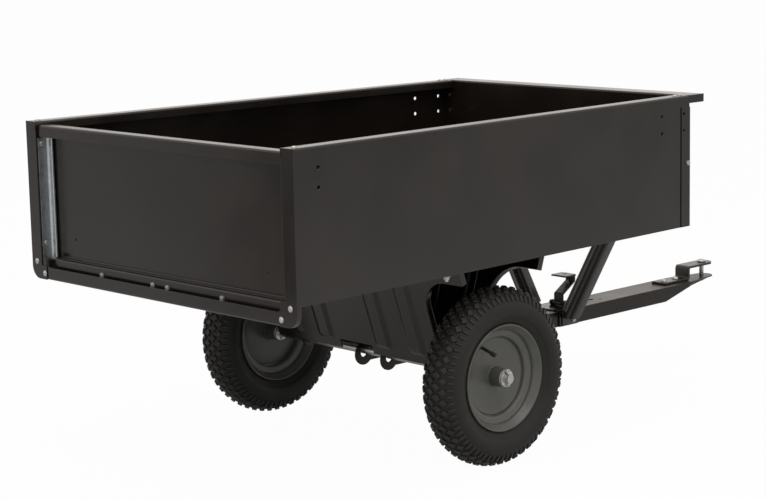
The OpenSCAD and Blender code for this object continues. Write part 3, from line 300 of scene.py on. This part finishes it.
# what the three rubbers share
rubberTexture = {"cloud": (18, 5), "span": (0.3, 0.72), "grain": (900, 3), "bump": (0.18, 0.0003), "shine": 0.3}
tyreRubber = {
    "low": (0.0070, 0.0071, 0.0069), "high": (0.0140, 0.0140, 0.0136), "roughLow": 0.5, "roughHigh": 0.72,
}
# the tread blocks wear a lighter, glossier copy of the tyre's rubber: painted light on the blocks against the
# darker grooves
treadLitRubber = {
    "low": (0.0125, 0.0126, 0.0122), "high": (0.0255, 0.0255, 0.0246), "roughLow": 0.36, "roughHigh": 0.56,
}
tubeRubber = {"low": (0.008, 0.008, 0.008), "high": (0.014, 0.014, 0.014), "roughLow": 0.45, "roughHigh": 0.6}


def makeRubber(spec, texture, name):
    mat, tree, shader, coord = startMaterial(name)
    cloud = addNoise(tree, coord, *texture["cloud"])
    grain = addNoise(tree, coord, *texture["grain"])
    colour = addTones(tree, cloud, texture["span"], spec["low"], spec["high"])
    rough = addRange(tree, cloud, spec["roughLow"], spec["roughHigh"])
    linkSurface(tree, shader, colour, addBump(tree, grain, *texture["bump"]), rough)
    shader.inputs["Specular IOR Level"].default_value = texture["shine"]
    return mat


bushNylon = {
    "low": (0.62, 0.60, 0.54), "high": (0.74, 0.73, 0.68), "rough": 0.45,
    "cloud": (60, 3), "span": (0.3, 0.7), "bump": (0.05, 0.0005),
}


def makeNylon(spec):
    mat, tree, shader, coord = startMaterial("bushNylon")
    cloud = addNoise(tree, coord, *spec["cloud"])
    colour = addTones(tree, cloud, spec["span"], spec["low"], spec["high"])
    linkSurface(tree, shader, colour, addBump(tree, cloud, *spec["bump"]))
    shader.inputs["Roughness"].default_value = spec["rough"]
    return mat


coat = makePowderCoat(powderCoat, coatTexture, "powderCoat")
pressed = makePowderCoat(pressedCoat, coatTexture, "pressedCoat")
drawbarPaint = makePowderCoat(drawbarCoat, coatTexture, "drawbarCoat")
strutLitPaint = makePowderCoat(strutLitCoat, coatTexture, "strutLitCoat")
zinc = makeZinc(zincPlate)
galvanisedSkin = makeGalvanised(galvanised)
rimGrey = makeRimPaint(rimPaint)
rubber = makeRubber(tyreRubber, rubberTexture, "tyreRubber")
blockLitRubber = makeRubber(treadLitRubber, rubberTexture, "treadLitRubber")
finishes = {
    "dark_paint": coat, "galvanised": galvanisedSkin, "zinc": zinc, "rim_grey": rimGrey,
    "tyre_black": rubber, "tube_rubber": makeRubber(tubeRubber, rubberTexture, "tubeRubber"),
    "bright_steel": makeDrawnBar(drawnBar), "nylon": makeNylon(bushNylon),
}
ownCoat = {
    "rear_axle_pan": pressed, "front_axle_pan": pressed, "latch_lever": pressed, "hitch_strap": pressed,
    "tongue": drawbarPaint,
}
slotOf = {s["node"]: s["material_slot"] for s in frame["record"]["subparts"]}
for name, solid in nodes.items():
    solid.data.materials.clear()
    solid.data.materials.append(ownCoat.get(name, finishes[slotOf[name]]))
print("stage 3: materials on", len(nodes), "solids")


def linkMesh(bm, name, material):
    mesh = bpy.data.meshes.new(name)
    bm.to_mesh(mesh)
    bm.free()
    mesh.materials.append(material)
    item = bpy.data.objects.new(name, mesh)
    bpy.context.collection.objects.link(item)
    return item


def addPiece(bm, name, material, body, stands=(), sharpAngle=32):
    piece = linkMesh(bm, name, material)
    for face in piece.data.polygons:
        face.use_smooth = True
    piece.data.set_sharp_from_angle(angle=radians(sharpAngle))
    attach(piece, body)
    if stands:
        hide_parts(*stands)
    return piece


def closeSeams(bm, gap=1e-6):
    bmesh.ops.remove_doubles(bm, verts=bm.verts, dist=gap)


def softenEdges(bm, edges, width, segments):
    bmesh.ops.bevel(bm, geom=edges, offset=width / 1000, offset_type="OFFSET", segments=segments,
                    profile=0.5, affect="EDGES", material=-1)


def edgesAround(verts):
    return list(dict.fromkeys(edge for vert in verts for edge in vert.link_edges))


def spinChain(bm, chain, axis, steps, closed=False):
    verts = [bm.verts.new(point) for point in chain]
    pairs = list(zip(verts, verts[1:])) + ([(verts[-1], verts[0])] if closed else [])
    edges = [bm.edges.new(pair) for pair in pairs]
    bmesh.ops.spin(bm, geom=verts + edges, cent=(0, 0, 0), axis=axis, dvec=(0, 0, 0),
                   angle=2 * pi, steps=steps, use_merge=True, use_duplicate=False)


def spinWheel(bm, profile, steps, closed=False):
    # profile points are (radius, outward) in millimetres, spun round the wheel's own Y
    spinChain(bm, [(r / 1000, y / 1000, 0) for r, y in profile], (0, 1, 0), steps, closed)


def toWheel(bm, side):
    # side 1 is the left wheel; the right one is its mirror image
    centre = Matrix.Translation((axle["x"], side * axle["wheelY"], axle["z"]))
    bmesh.ops.transform(bm, matrix=centre @ Matrix.Diagonal((1, side, 1, 1)), verts=bm.verts)
    bmesh.ops.recalc_face_normals(bm, faces=bm.faces)


# section and tread in millimetres; the relief stands above the skin, the root below it
tyreShape = {
    "middle": 152.0, "up": 43.4, "down": 33.0, "half": 46.5, "steps": 144,
    "sweep": 126, "sweepStep": 6, "ridgeAngles": (78, 114), "ridge": 0.9,
    "bead": [(123.0, 32.6), (120.2, 30.4), (113.5, 25.0), (108.0, 19.0), (106.0, 11.0)],
    "inner": [(124.0, 20.0), (152.0, 37.5), (184.0, 24.0), (188.0, 0.0)],
    "root": 3.6, "blockEdge": 0.9,
    "studs": 50, "studRows": (-35, -18, 0, 18, 35), "rowShift": 0.5,
    "studSize": (15.5, 12.0), "studRelief": 4.2, "studTaper": 0.86, "studYaw": 45,
    "lugs": 76, "lugAngle": 55, "lugShift": 0.25,
    "lugSize": (17.0, 5.6), "lugRelief": 3.0, "lugTaper": 0.88,
}


def sectionPoint(shape, angle, lift=0.0):
    a = radians(angle)
    up = (shape["up"] if cos(a) >= 0 else shape["down"]) + lift
    return shape["middle"] + up * cos(a), (shape["half"] + lift) * sin(a)


def tyreProfile(shape):
    outer = []
    for angle in range(-shape["sweep"], shape["sweep"] + 1, shape["sweepStep"]):
        lift = shape["ridge"] if abs(angle) in shape["ridgeAngles"] else 0.0
        outer.append(sectionPoint(shape, angle, lift))
    right = shape["bead"] + shape["inner"]
    left = [(r, -y) for r, y in reversed(right[:-1])]
    return outer + right + left


def makeBlock(shape, kind):
    # one rubber block standing on z, wide in x, with drawn-in sides
    width, length = shape[kind + "Size"]
    height = shape[kind + "Relief"] + shape["root"]
    taper = shape[kind + "Taper"]
    bm = bmesh.new()
    bmesh.ops.create_cube(bm, size=1)
    bmesh.ops.scale(bm, vec=(width / 1000, length / 1000, height / 1000), verts=bm.verts)
    bmesh.ops.scale(bm, vec=(taper, taper, 1), verts=[v for v in bm.verts if v.co.z > 0])
    edges = [e for e in bm.edges if e.verts[0].co.z > 0 or e.verts[1].co.z > 0]
    softenEdges(bm, edges, shape["blockEdge"], 1)
    for face in bm.faces:
        face.material_index = 1    # the lighter tread rubber, painted light on the blocks
    mesh = bpy.data.meshes.new("treadBlock")
    bm.to_mesh(mesh)
    bm.free()
    return mesh


def onSection(shape, angle, turn, relief, yaw=0.0):
    # frame on the tyre's skin: x across the tread, z straight out of it
    r, y = sectionPoint(shape, angle)
    stand = (Matrix.Rotation(turn, 4, "Y") @ Matrix.Translation((r / 1000, y / 1000, 0))
             @ Matrix.Rotation(radians(angle), 4, "Z")
             @ Matrix.Rotation(radians(90), 4, "Y") @ Matrix.Rotation(radians(90), 4, "Z"))
    middle = (relief - shape["root"]) / 2
    return stand @ Matrix.Translation((0, 0, middle / 1000)) @ Matrix.Rotation(radians(yaw), 4, "Z")


def addBlocks(tread, block, matrices):
    # the tread's own bmesh only ever grows, so its newest vertices come last
    for matrix in matrices:
        before = len(tread.verts)
        tread.from_mesh(block)
        tread.verts.ensure_lookup_table()
        bmesh.ops.transform(tread, matrix=matrix, verts=tread.verts[before:])


def buildTyre(shape, side, name):
    bm = bmesh.new()
    spinWheel(bm, tyreProfile(shape), shape["steps"], closed=True)
    closeSeams(bm)
    tread = bmesh.new()
    stud, lug = makeBlock(shape, "stud"), makeBlock(shape, "lug")
    pitch = 2 * pi / shape["studs"]
    for row, angle in enumerate(shape["studRows"]):
        turns = [pitch * (k + shape["rowShift"] * (row % 2)) for k in range(shape["studs"])]
        addBlocks(tread, stud, [onSection(shape, angle, turn, shape["studRelief"], shape["studYaw"])
                                for turn in turns])
    pitch = 2 * pi / shape["lugs"]
    for sign in (-1, 1):
        turns = [pitch * (k + shape["lugShift"] * sign) for k in range(shape["lugs"])]
        addBlocks(tread, lug, [onSection(shape, sign * shape["lugAngle"], turn, shape["lugRelief"])
                               for turn in turns])
    blocks = bpy.data.meshes.new("treadBlocks")
    tread.to_mesh(blocks)
    tread.free()
    bm.from_mesh(blocks)
    toWheel(bm, side)
    piece = addPiece(bm, name + "_treadTyre", rubber, name + "_wheel",
                     (name + "_tyre",), sharpAngle=40)
    # slot 1 takes the lighter tread rubber, painted light on the blocks
    piece.data.materials.append(blockLitRubber)


rimShape = {
    "barrel": [(119.0, 30.0), (119.6, 32.4), (119.2, 34.4), (117.8, 35.7), (115.9, 35.6), (114.6, 34.4),
               (113.4, 32.2), (109.4, 27.6), (106.0, 23.6), (104.2, 20.8), (103.4, 18.4), (103.2, 15.6),
               (101.6, 14.6), (96.0, 13.8), (91.0, 12.4), (88.4, 10.4), (87.2, 7.6)],
    "disc": [(87.0, 4.6), (86.0, 1.8), (82.5, 0.2), (62.0, 0.0), (40.0, 0.0), (21.3, 0.0)],
    "sheet": 2.4, "weldRadius": 22.6, "weldOut": 2.4, "weldBead": 2.2, "steps": 144,
}


def buildRim(shape, side, name):
    bm = bmesh.new()
    back = [(r, -y) for r, y in reversed(shape["barrel"])]
    spinWheel(bm, shape["barrel"] + back, shape["steps"])
    spinWheel(bm, shape["disc"], shape["steps"])
    closeSeams(bm)
    bmesh.ops.recalc_face_normals(bm, faces=bm.faces)
    bmesh.ops.solidify(bm, geom=bm.faces[:], thickness=shape["sheet"] / 1000)
    radius, bead = shape["weldRadius"], shape["weldBead"]
    corners = [radians(angle) for angle in range(0, 360, 45)]
    for out in (-shape["weldOut"], shape["weldOut"]):
        ring = [(radius + bead * cos(a), out + bead * sin(a)) for a in corners]
        spinWheel(bm, ring, shape["steps"] // 2, closed=True)
    closeSeams(bm)
    toWheel(bm, side)
    addPiece(bm, name + "_pressedRim", rimGrey, name + "_wheel",
             (name + "_rim",), sharpAngle=30)


for side, name in sides:
    buildTyre(tyreShape, side, name)
    buildRim(rimShape, side, name)
print("stage 4: tyres and rims built")


# the other pieces are placed in millimetres from the bed's rear edge and the floor's underside
deck = {"toMiddle": 942.875, "height": 456.0}


def deckPoint(x, y, z):
    return Vector(((x - deck["toMiddle"]) / 1000, y / 1000, (z + deck["height"]) / 1000))


def sweepSheet(bm, chain, along):
    verts = [bm.verts.new(point) for point in chain]
    edges = [bm.edges.new(pair) for pair in zip(verts, verts[1:])]
    grown = bmesh.ops.extrude_edge_only(bm, edges=edges)
    moved = [item for item in grown["geom"] if isinstance(item, bmesh.types.BMVert)]
    bmesh.ops.translate(bm, vec=along, verts=moved)


def thicken(bm, thickness):
    closeSeams(bm)
    bmesh.ops.recalc_face_normals(bm, faces=bm.faces)
    bmesh.ops.solidify(bm, geom=bm.faces[:], thickness=thickness / 1000)
    bmesh.ops.recalc_face_normals(bm, faces=bm.faces)


def addPlate(bm, corners, rounding):
    low, high = (deckPoint(*corner) for corner in corners)
    made = bmesh.ops.create_cube(bm, size=1)["verts"]
    bmesh.ops.scale(bm, vec=high - low, verts=made)
    bmesh.ops.translate(bm, vec=(low + high) / 2, verts=made)
    softenEdges(bm, edgesAround(made), rounding, 2)


def mirrorAcross(bm, side):
    if side < 0:
        bmesh.ops.transform(bm, matrix=Matrix.Diagonal((1, -1, 1, 1)), verts=bm.verts)
        bmesh.ops.recalc_face_normals(bm, faces=bm.faces)


# turned pieces of the hitch, as (radius, height) from a seat on the strap
hitchPin = {
    "places": (1857.0,), "seat": -209.2, "steps": 40,
    "profile": [(0, 6.6), (5.0, 6.4), (8.8, 5.6), (11.2, 4.0), (12.0, 2.2), (11.6, 0.6), (10.6, 0.0),
                (6.0, 0.0), (6.0, -50.6), (5.0, -52.3), (0, -52.3)],
}
strapBolts = {
    "places": (1694.0, 1743.0), "seat": -240.5, "steps": 40,
    "profile": [(0, 6.4), (3.6, 6.1), (6.4, 5.0), (8.2, 3.2), (8.8, 1.6), (9.4, 1.4), (9.6, 0.2),
                (4.0, 0.0), (4.0, -9.2), (6.6, -9.3), (6.8, -13.6), (4.0, -14.0), (3.9, -16.5), (0, -16.9)],
}


def buildTurned(spec, name, body, stands):
    bm = bmesh.new()
    chain = [(r / 1000, 0, z / 1000) for r, z in spec["profile"]]
    for x in spec["places"]:
        known = set(bm.verts)
        spinChain(bm, chain, (0, 0, 1), spec["steps"])
        made = [vert for vert in bm.verts if vert not in known]
        bmesh.ops.translate(bm, vec=deckPoint(x, 0, spec["seat"]), verts=made)
    closeSeams(bm)
    bmesh.ops.recalc_face_normals(bm, faces=bm.faces)
    addPiece(bm, name, zinc, body, (stands,), sharpAngle=36)


buildTurned(hitchPin, "domedPin", "hitch_pin", "hitch_pin")
buildTurned(strapBolts, "strapDomes", "drawbar", "hitch_bolts")

# stiffening ribs of the axle pans, with soft shoulders over the plain ones of the solids;
# their edges tuck under the pan's skin
ribShape = {
    "middles": (-206.0, -97.0, 97.0, 206.0), "topX": 497.0, "axleX": 632.0, "lean": 18.435,
    "from": 2.0, "to": 238.0, "fade": 12.0, "half": 36.0, "flat": 16.0,
    "skin": 2.3, "tuck": 0.6, "crest": 7.8, "shoulder": 2.2, "sheet": 1.2, "grid": (36, 40),
}


def ribHeight(shape, across, along):
    reach = max(0.0, (abs(across) - shape["flat"]) / (shape["half"] - shape["flat"]))
    nearEnd = min(1.0, (along - shape["from"]) / shape["fade"], (shape["to"] - along) / shape["fade"])
    fade = nearEnd * nearEnd * (3 - 2 * nearEnd)
    low = shape["skin"] - shape["tuck"]
    return low + (shape["crest"] - low) * (1 - reach) ** shape["shoulder"] * fade


def buildRibs(shape, facing, name):
    # facing 1 is the rear pan; the front one leans the other way about the axle
    bm = bmesh.new()
    lean = radians(shape["lean"])
    span = shape["to"] - shape["from"]
    columns, rows = shape["grid"]
    for middle in shape["middles"]:
        made = bmesh.ops.create_grid(bm, x_segments=columns, y_segments=rows, size=0.5)["verts"]
        for vert in made:
            across = vert.co.x * 2 * shape["half"]
            along = shape["from"] + (vert.co.y + 0.5) * span
            out = ribHeight(shape, across, along)
            x = shape["topX"] + along * sin(lean) - out * cos(lean)
            vert.co = deckPoint(shape["axleX"] + facing * (x - shape["axleX"]), middle + across,
                                -along * cos(lean) - out * sin(lean))
    thicken(bm, shape["sheet"])
    addPiece(bm, name + "_panRibs", pressed, "bed", sharpAngle=60)


# half of the strut's section, from a flange's edge to the middle of the bead
strutShape = {
    "half": [(13.0, 18.5), (-9.5, 18.5), (-11.6, 17.7), (-12.8, 16.0), (-13.0, 13.5), (-13.0, 9.6),
             (-13.8, 7.6), (-16.0, 5.4), (-17.2, 3.0), (-17.5, 0.0)],
    "foot": (1246.0, 45.0, -284.5), "top": (1246.0, 205.0, 0.0), "sheet": 2.6, "overrun": 40.0,
    "trimInside": 50.2, "trimTop": -1.5, "trimLow": -262.0, "plateEdge": 1.0,
    "footPlate": ((1228.0, 48.4, -284.0), (1281.0, 51.4, -247.0)),
    "topPlate": ((1230.0, 163.0, -3.2), (1282.0, 247.0, -0.2)),
}


def buildStrut(shape, side, name):
    bm = bmesh.new()
    rise = Vector(shape["top"]) - Vector(shape["foot"])
    section = shape["half"] + [(u, -v) for u, v in reversed(shape["half"][:-1])]
    overrun = shape["overrun"] / 1000
    sweepSheet(bm, [(u / 1000, v / 1000, -overrun) for u, v in section],
               (0, 0, rise.length / 1000 + 2 * overrun))
    lean = Matrix.Rotation(-atan2(rise.y, rise.z), 4, "X")
    bmesh.ops.transform(bm, matrix=Matrix.Translation(deckPoint(*shape["foot"])) @ lean, verts=bm.verts)
    trims = (((0, shape["trimInside"], 0), (0, -1, 0)),
             ((0, 0, shape["trimTop"]), (0, 0, 1)),
             ((0, 0, shape["trimLow"]), (0, 0, -1)))
    for at, facing in trims:
        bmesh.ops.bisect_plane(bm, geom=bm.verts[:] + bm.edges[:] + bm.faces[:],
                               plane_co=deckPoint(*at), plane_no=facing, clear_outer=True)
    thicken(bm, shape["sheet"])
    addPlate(bm, shape["footPlate"], shape["plateEdge"])
    addPlate(bm, shape["topPlate"], shape["plateEdge"])
    mirrorAcross(bm, side)
    # the struts take the lighter copy of the dark paint, painted light on their webs
    addPiece(bm, name + "_pressedStrut", strutLitPaint, "bed",
             (name + "_strut",), sharpAngle=38)


# the guide's section in plan ends in a rolled edge, and a lip closes its foot
guideShape = {
    "plan": [(3.4, 412.7), (24.0, 412.7), (28.6, 411.6), (31.4, 408.6), (32.2, 404.5), (32.2, 396.5),
             (31.6, 393.2), (29.4, 391.4), (26.6, 391.6), (25.4, 393.4)],
    "low": -18.0, "sheet": 2.0, "lip": ((4.5, 393.0, -19.5), (31.0, 413.5, -17.5)), "lipEdge": 0.6,
}


def buildGuide(shape, side, name):
    bm = bmesh.new()
    chain = [deckPoint(x, y, shape["low"]) for x, y in shape["plan"]]
    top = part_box(name + "_tailgate_guide")[1][2]
    sweepSheet(bm, chain, (0, 0, top - chain[0].z))
    thicken(bm, shape["sheet"])
    addPlate(bm, shape["lip"], shape["lipEdge"])
    mirrorAcross(bm, side)
    addPiece(bm, name + "_formedGuide", galvanisedSkin, "bed",
             (name + "_tailgate_guide",), sharpAngle=38)


# lower lip of the front pan beside the drawbar
panLip = {
    "chain": [(685.6, -242.5), (685.6, -254.0), (684.6, -257.0), (681.6, -258.4), (677.0, -258.6)],
    "inside": 50.0, "outside": 274.0, "sheet": 2.0,
}


def buildPanLip(spec, side, name):
    bm = bmesh.new()
    chain = [deckPoint(x, spec["inside"], z) for x, z in spec["chain"]]
    sweepSheet(bm, chain, (0, (spec["outside"] - spec["inside"]) / 1000, 0))
    thicken(bm, spec["sheet"])
    mirrorAcross(bm, side)
    addPiece(bm, name + "_panLip", pressed, "bed")


# folded edge under the drawbar's tapering tip
tipFold = {
    "rear": (1752.0, 44.0), "front": (1850.0, 27.4), "rearDrop": -257.5, "frontDrop": -250.4,
    "under": -249.0, "sheet": 2.8,
}


def buildTipFold(spec, side, name):
    bm = bmesh.new()
    rear, front = ((x, y - spec["sheet"] / 2) for x, y in (spec["rear"], spec["front"]))
    corners = [(*rear, spec["under"]), (*rear, spec["rearDrop"]),
               (*front, spec["frontDrop"]), (*front, spec["under"])]
    bm.faces.new([bm.verts.new(deckPoint(*corner)) for corner in corners])
    thicken(bm, spec["sheet"])
    mirrorAcross(bm, side)
    addPiece(bm, name + "_tipFold", drawbarPaint, "drawbar")


# washer, nut and bolt's end under the sides' bottom flanges, each as (radius, sides, top, low)
flangeBolt = {
    "place": (440.0, 424.0), "edge": 0.4,
    "stack": ((9.2, 32, -1.0, -2.6), (6.6, 6, -2.6, -8.6), (3.9, 24, -3.0, -13.0)),
}


def buildFlangeBolt(spec, side, name):
    bm = bmesh.new()
    x, y = spec["place"]
    for radius, corners, top, low in spec["stack"]:
        made = bmesh.ops.create_cone(bm, cap_ends=True, segments=corners, radius1=radius / 1000,
                                     radius2=radius / 1000, depth=(top - low) / 1000)["verts"]
        bmesh.ops.translate(bm, vec=deckPoint(x, y, (top + low) / 2), verts=made)
        softenEdges(bm, edgesAround(made), spec["edge"], 1)
    mirrorAcross(bm, side)
    addPiece(bm, name + "_flangeBolt", zinc, "bed")


buildRibs(ribShape, 1, "rear")
buildRibs(ribShape, -1, "front")
for side, name in sides:
    buildStrut(strutShape, side, name)
    buildGuide(guideShape, side, name)
    buildPanLip(panLip, side, name)
    buildTipFold(tipFold, side, name)
    buildFlangeBolt(flangeBolt, side, name)
print("stage 5: pressed and formed sheet pieces built")


# floor, backdrop light and lamps
studio = {
    "floorSize": 60.0, "floorGrey": 0.74, "floorGlow": 0.975, "floorSheen": 0.24,
    "worldFill": 0.5, "warmWhite": (1.0, 0.945, 0.90),
}


def makeFloor(spec):
    mat = bpy.data.materials.new("floorWhite")
    mat.use_nodes = True
    tree = mat.node_tree
    tree.nodes.clear()
    out = tree.nodes.new("ShaderNodeOutputMaterial")
    mix = tree.nodes.new("ShaderNodeMixShader")
    matt = tree.nodes.new("ShaderNodeBsdfDiffuse")
    glow = tree.nodes.new("ShaderNodeEmission")
    path = tree.nodes.new("ShaderNodeLightPath")
    matt.inputs["Color"].default_value = (spec["floorGrey"],) * 3 + (1,)
    seen = addRange(tree, path.outputs["Is Camera Ray"], 0.0, spec["floorGlow"], 0, 1)
    mirrored = addRange(tree, path.outputs["Is Glossy Ray"], 0.0, spec["floorSheen"], 0, 1)
    tree.links.new(addMath(tree, "MAXIMUM", seen, mirrored), mix.inputs["Fac"])
    tree.links.new(matt.outputs["BSDF"], mix.inputs[1])
    tree.links.new(glow.outputs["Emission"], mix.inputs[2])
    tree.links.new(mix.outputs["Shader"], out.inputs["Surface"])
    bm = bmesh.new()
    bmesh.ops.create_grid(bm, x_segments=1, y_segments=1, size=spec["floorSize"] / 2)
    floor = linkMesh(bm, "floor", mat)


# a dark card on the floor, seen only in the paint, as at the edge of a photographer's white sweep
darkCard = {
    "corners": ((-2.25, 1.40), (-5.2, 4.9), (-7.5, 2.5), (-4.0, -1.2)), "lift": 0.002,
    "tone": (0.035, 0.030, 0.026), "rough": 0.9,
}


def makeCard(spec):
    mat = bpy.data.materials.new("cardBlack")
    mat.use_nodes = True
    shader = mat.node_tree.nodes["Principled BSDF"]
    shader.inputs["Base Color"].default_value = (*spec["tone"], 1)
    shader.inputs["Roughness"].default_value = spec["rough"]
    bm = bmesh.new()
    bm.faces.new([bm.verts.new((x, y, spec["lift"])) for x, y in spec["corners"]])
    bmesh.ops.recalc_face_normals(bm, faces=bm.faces)
    card = linkMesh(bm, "darkCard", mat)
    card.visible_camera = False
    card.visible_diffuse = False
    card.visible_shadow = False


def makeWorld(spec):
    world = bpy.data.worlds.new("studioWorld")
    bpy.context.scene.world = world
    world.use_nodes = True
    tree = world.node_tree
    fill = tree.nodes["Background"]
    fill.inputs["Color"].default_value = (*spec["warmWhite"], 1)
    plain = tree.nodes.new("ShaderNodeBackground")
    plain.inputs["Color"].default_value = (1, 1, 1, 1)
    path = tree.nodes.new("ShaderNodeLightPath")
    mirrored = addMath(tree, "MAXIMUM", path.outputs["Is Glossy Ray"], path.outputs["Is Transmission Ray"])
    tree.links.new(addRange(tree, mirrored, spec["worldFill"], 1.0, 0, 1), fill.inputs["Strength"])
    mix = tree.nodes.new("ShaderNodeMixShader")
    tree.links.new(path.outputs["Is Camera Ray"], mix.inputs["Fac"])
    tree.links.new(fill.outputs["Background"], mix.inputs[1])
    tree.links.new(plain.outputs["Background"], mix.inputs[2])
    tree.links.new(mix.outputs["Shader"], tree.nodes["World Output"].inputs["Surface"])


lamps = [
    {"name": "overhead", "place": (-0.6, -0.6, 3.6), "aim": (0, 0, 0.4),
     "size": 3.4, "power": 72, "colour": (1.0, 0.96, 0.92)},
    {"name": "rearFill", "place": (-4.2, -0.6, 2.2), "aim": (-0.6, 0, 0.4),
     "size": 2.2, "power": 20, "colour": (1.0, 0.97, 0.94)},
    {"name": "sideFill", "place": (0.6, -4.2, 2.0), "aim": (0, -0.2, 0.4),
     "size": 2.4, "power": 20, "colour": (1.0, 0.97, 0.94)},
]


def makeLamp(spec):
    data = bpy.data.lights.new(spec["name"], "AREA")
    data.size = spec["size"]
    data.energy = spec["power"]
    data.color = spec["colour"]
    lamp = bpy.data.objects.new(spec["name"], data)
    bpy.context.collection.objects.link(lamp)
    look = Vector(spec["aim"]) - Vector(spec["place"])
    turn = look.to_track_quat("-Z", "Y").to_matrix().to_4x4()
    lamp.matrix_world = Matrix.Translation(spec["place"]) @ turn


makeFloor(studio)
makeCard(darkCard)
makeWorld(studio)
for lamp in lamps:
    makeLamp(lamp)
bpy.context.scene.view_settings.view_transform = "Standard"
print("stage 6: studio lit")
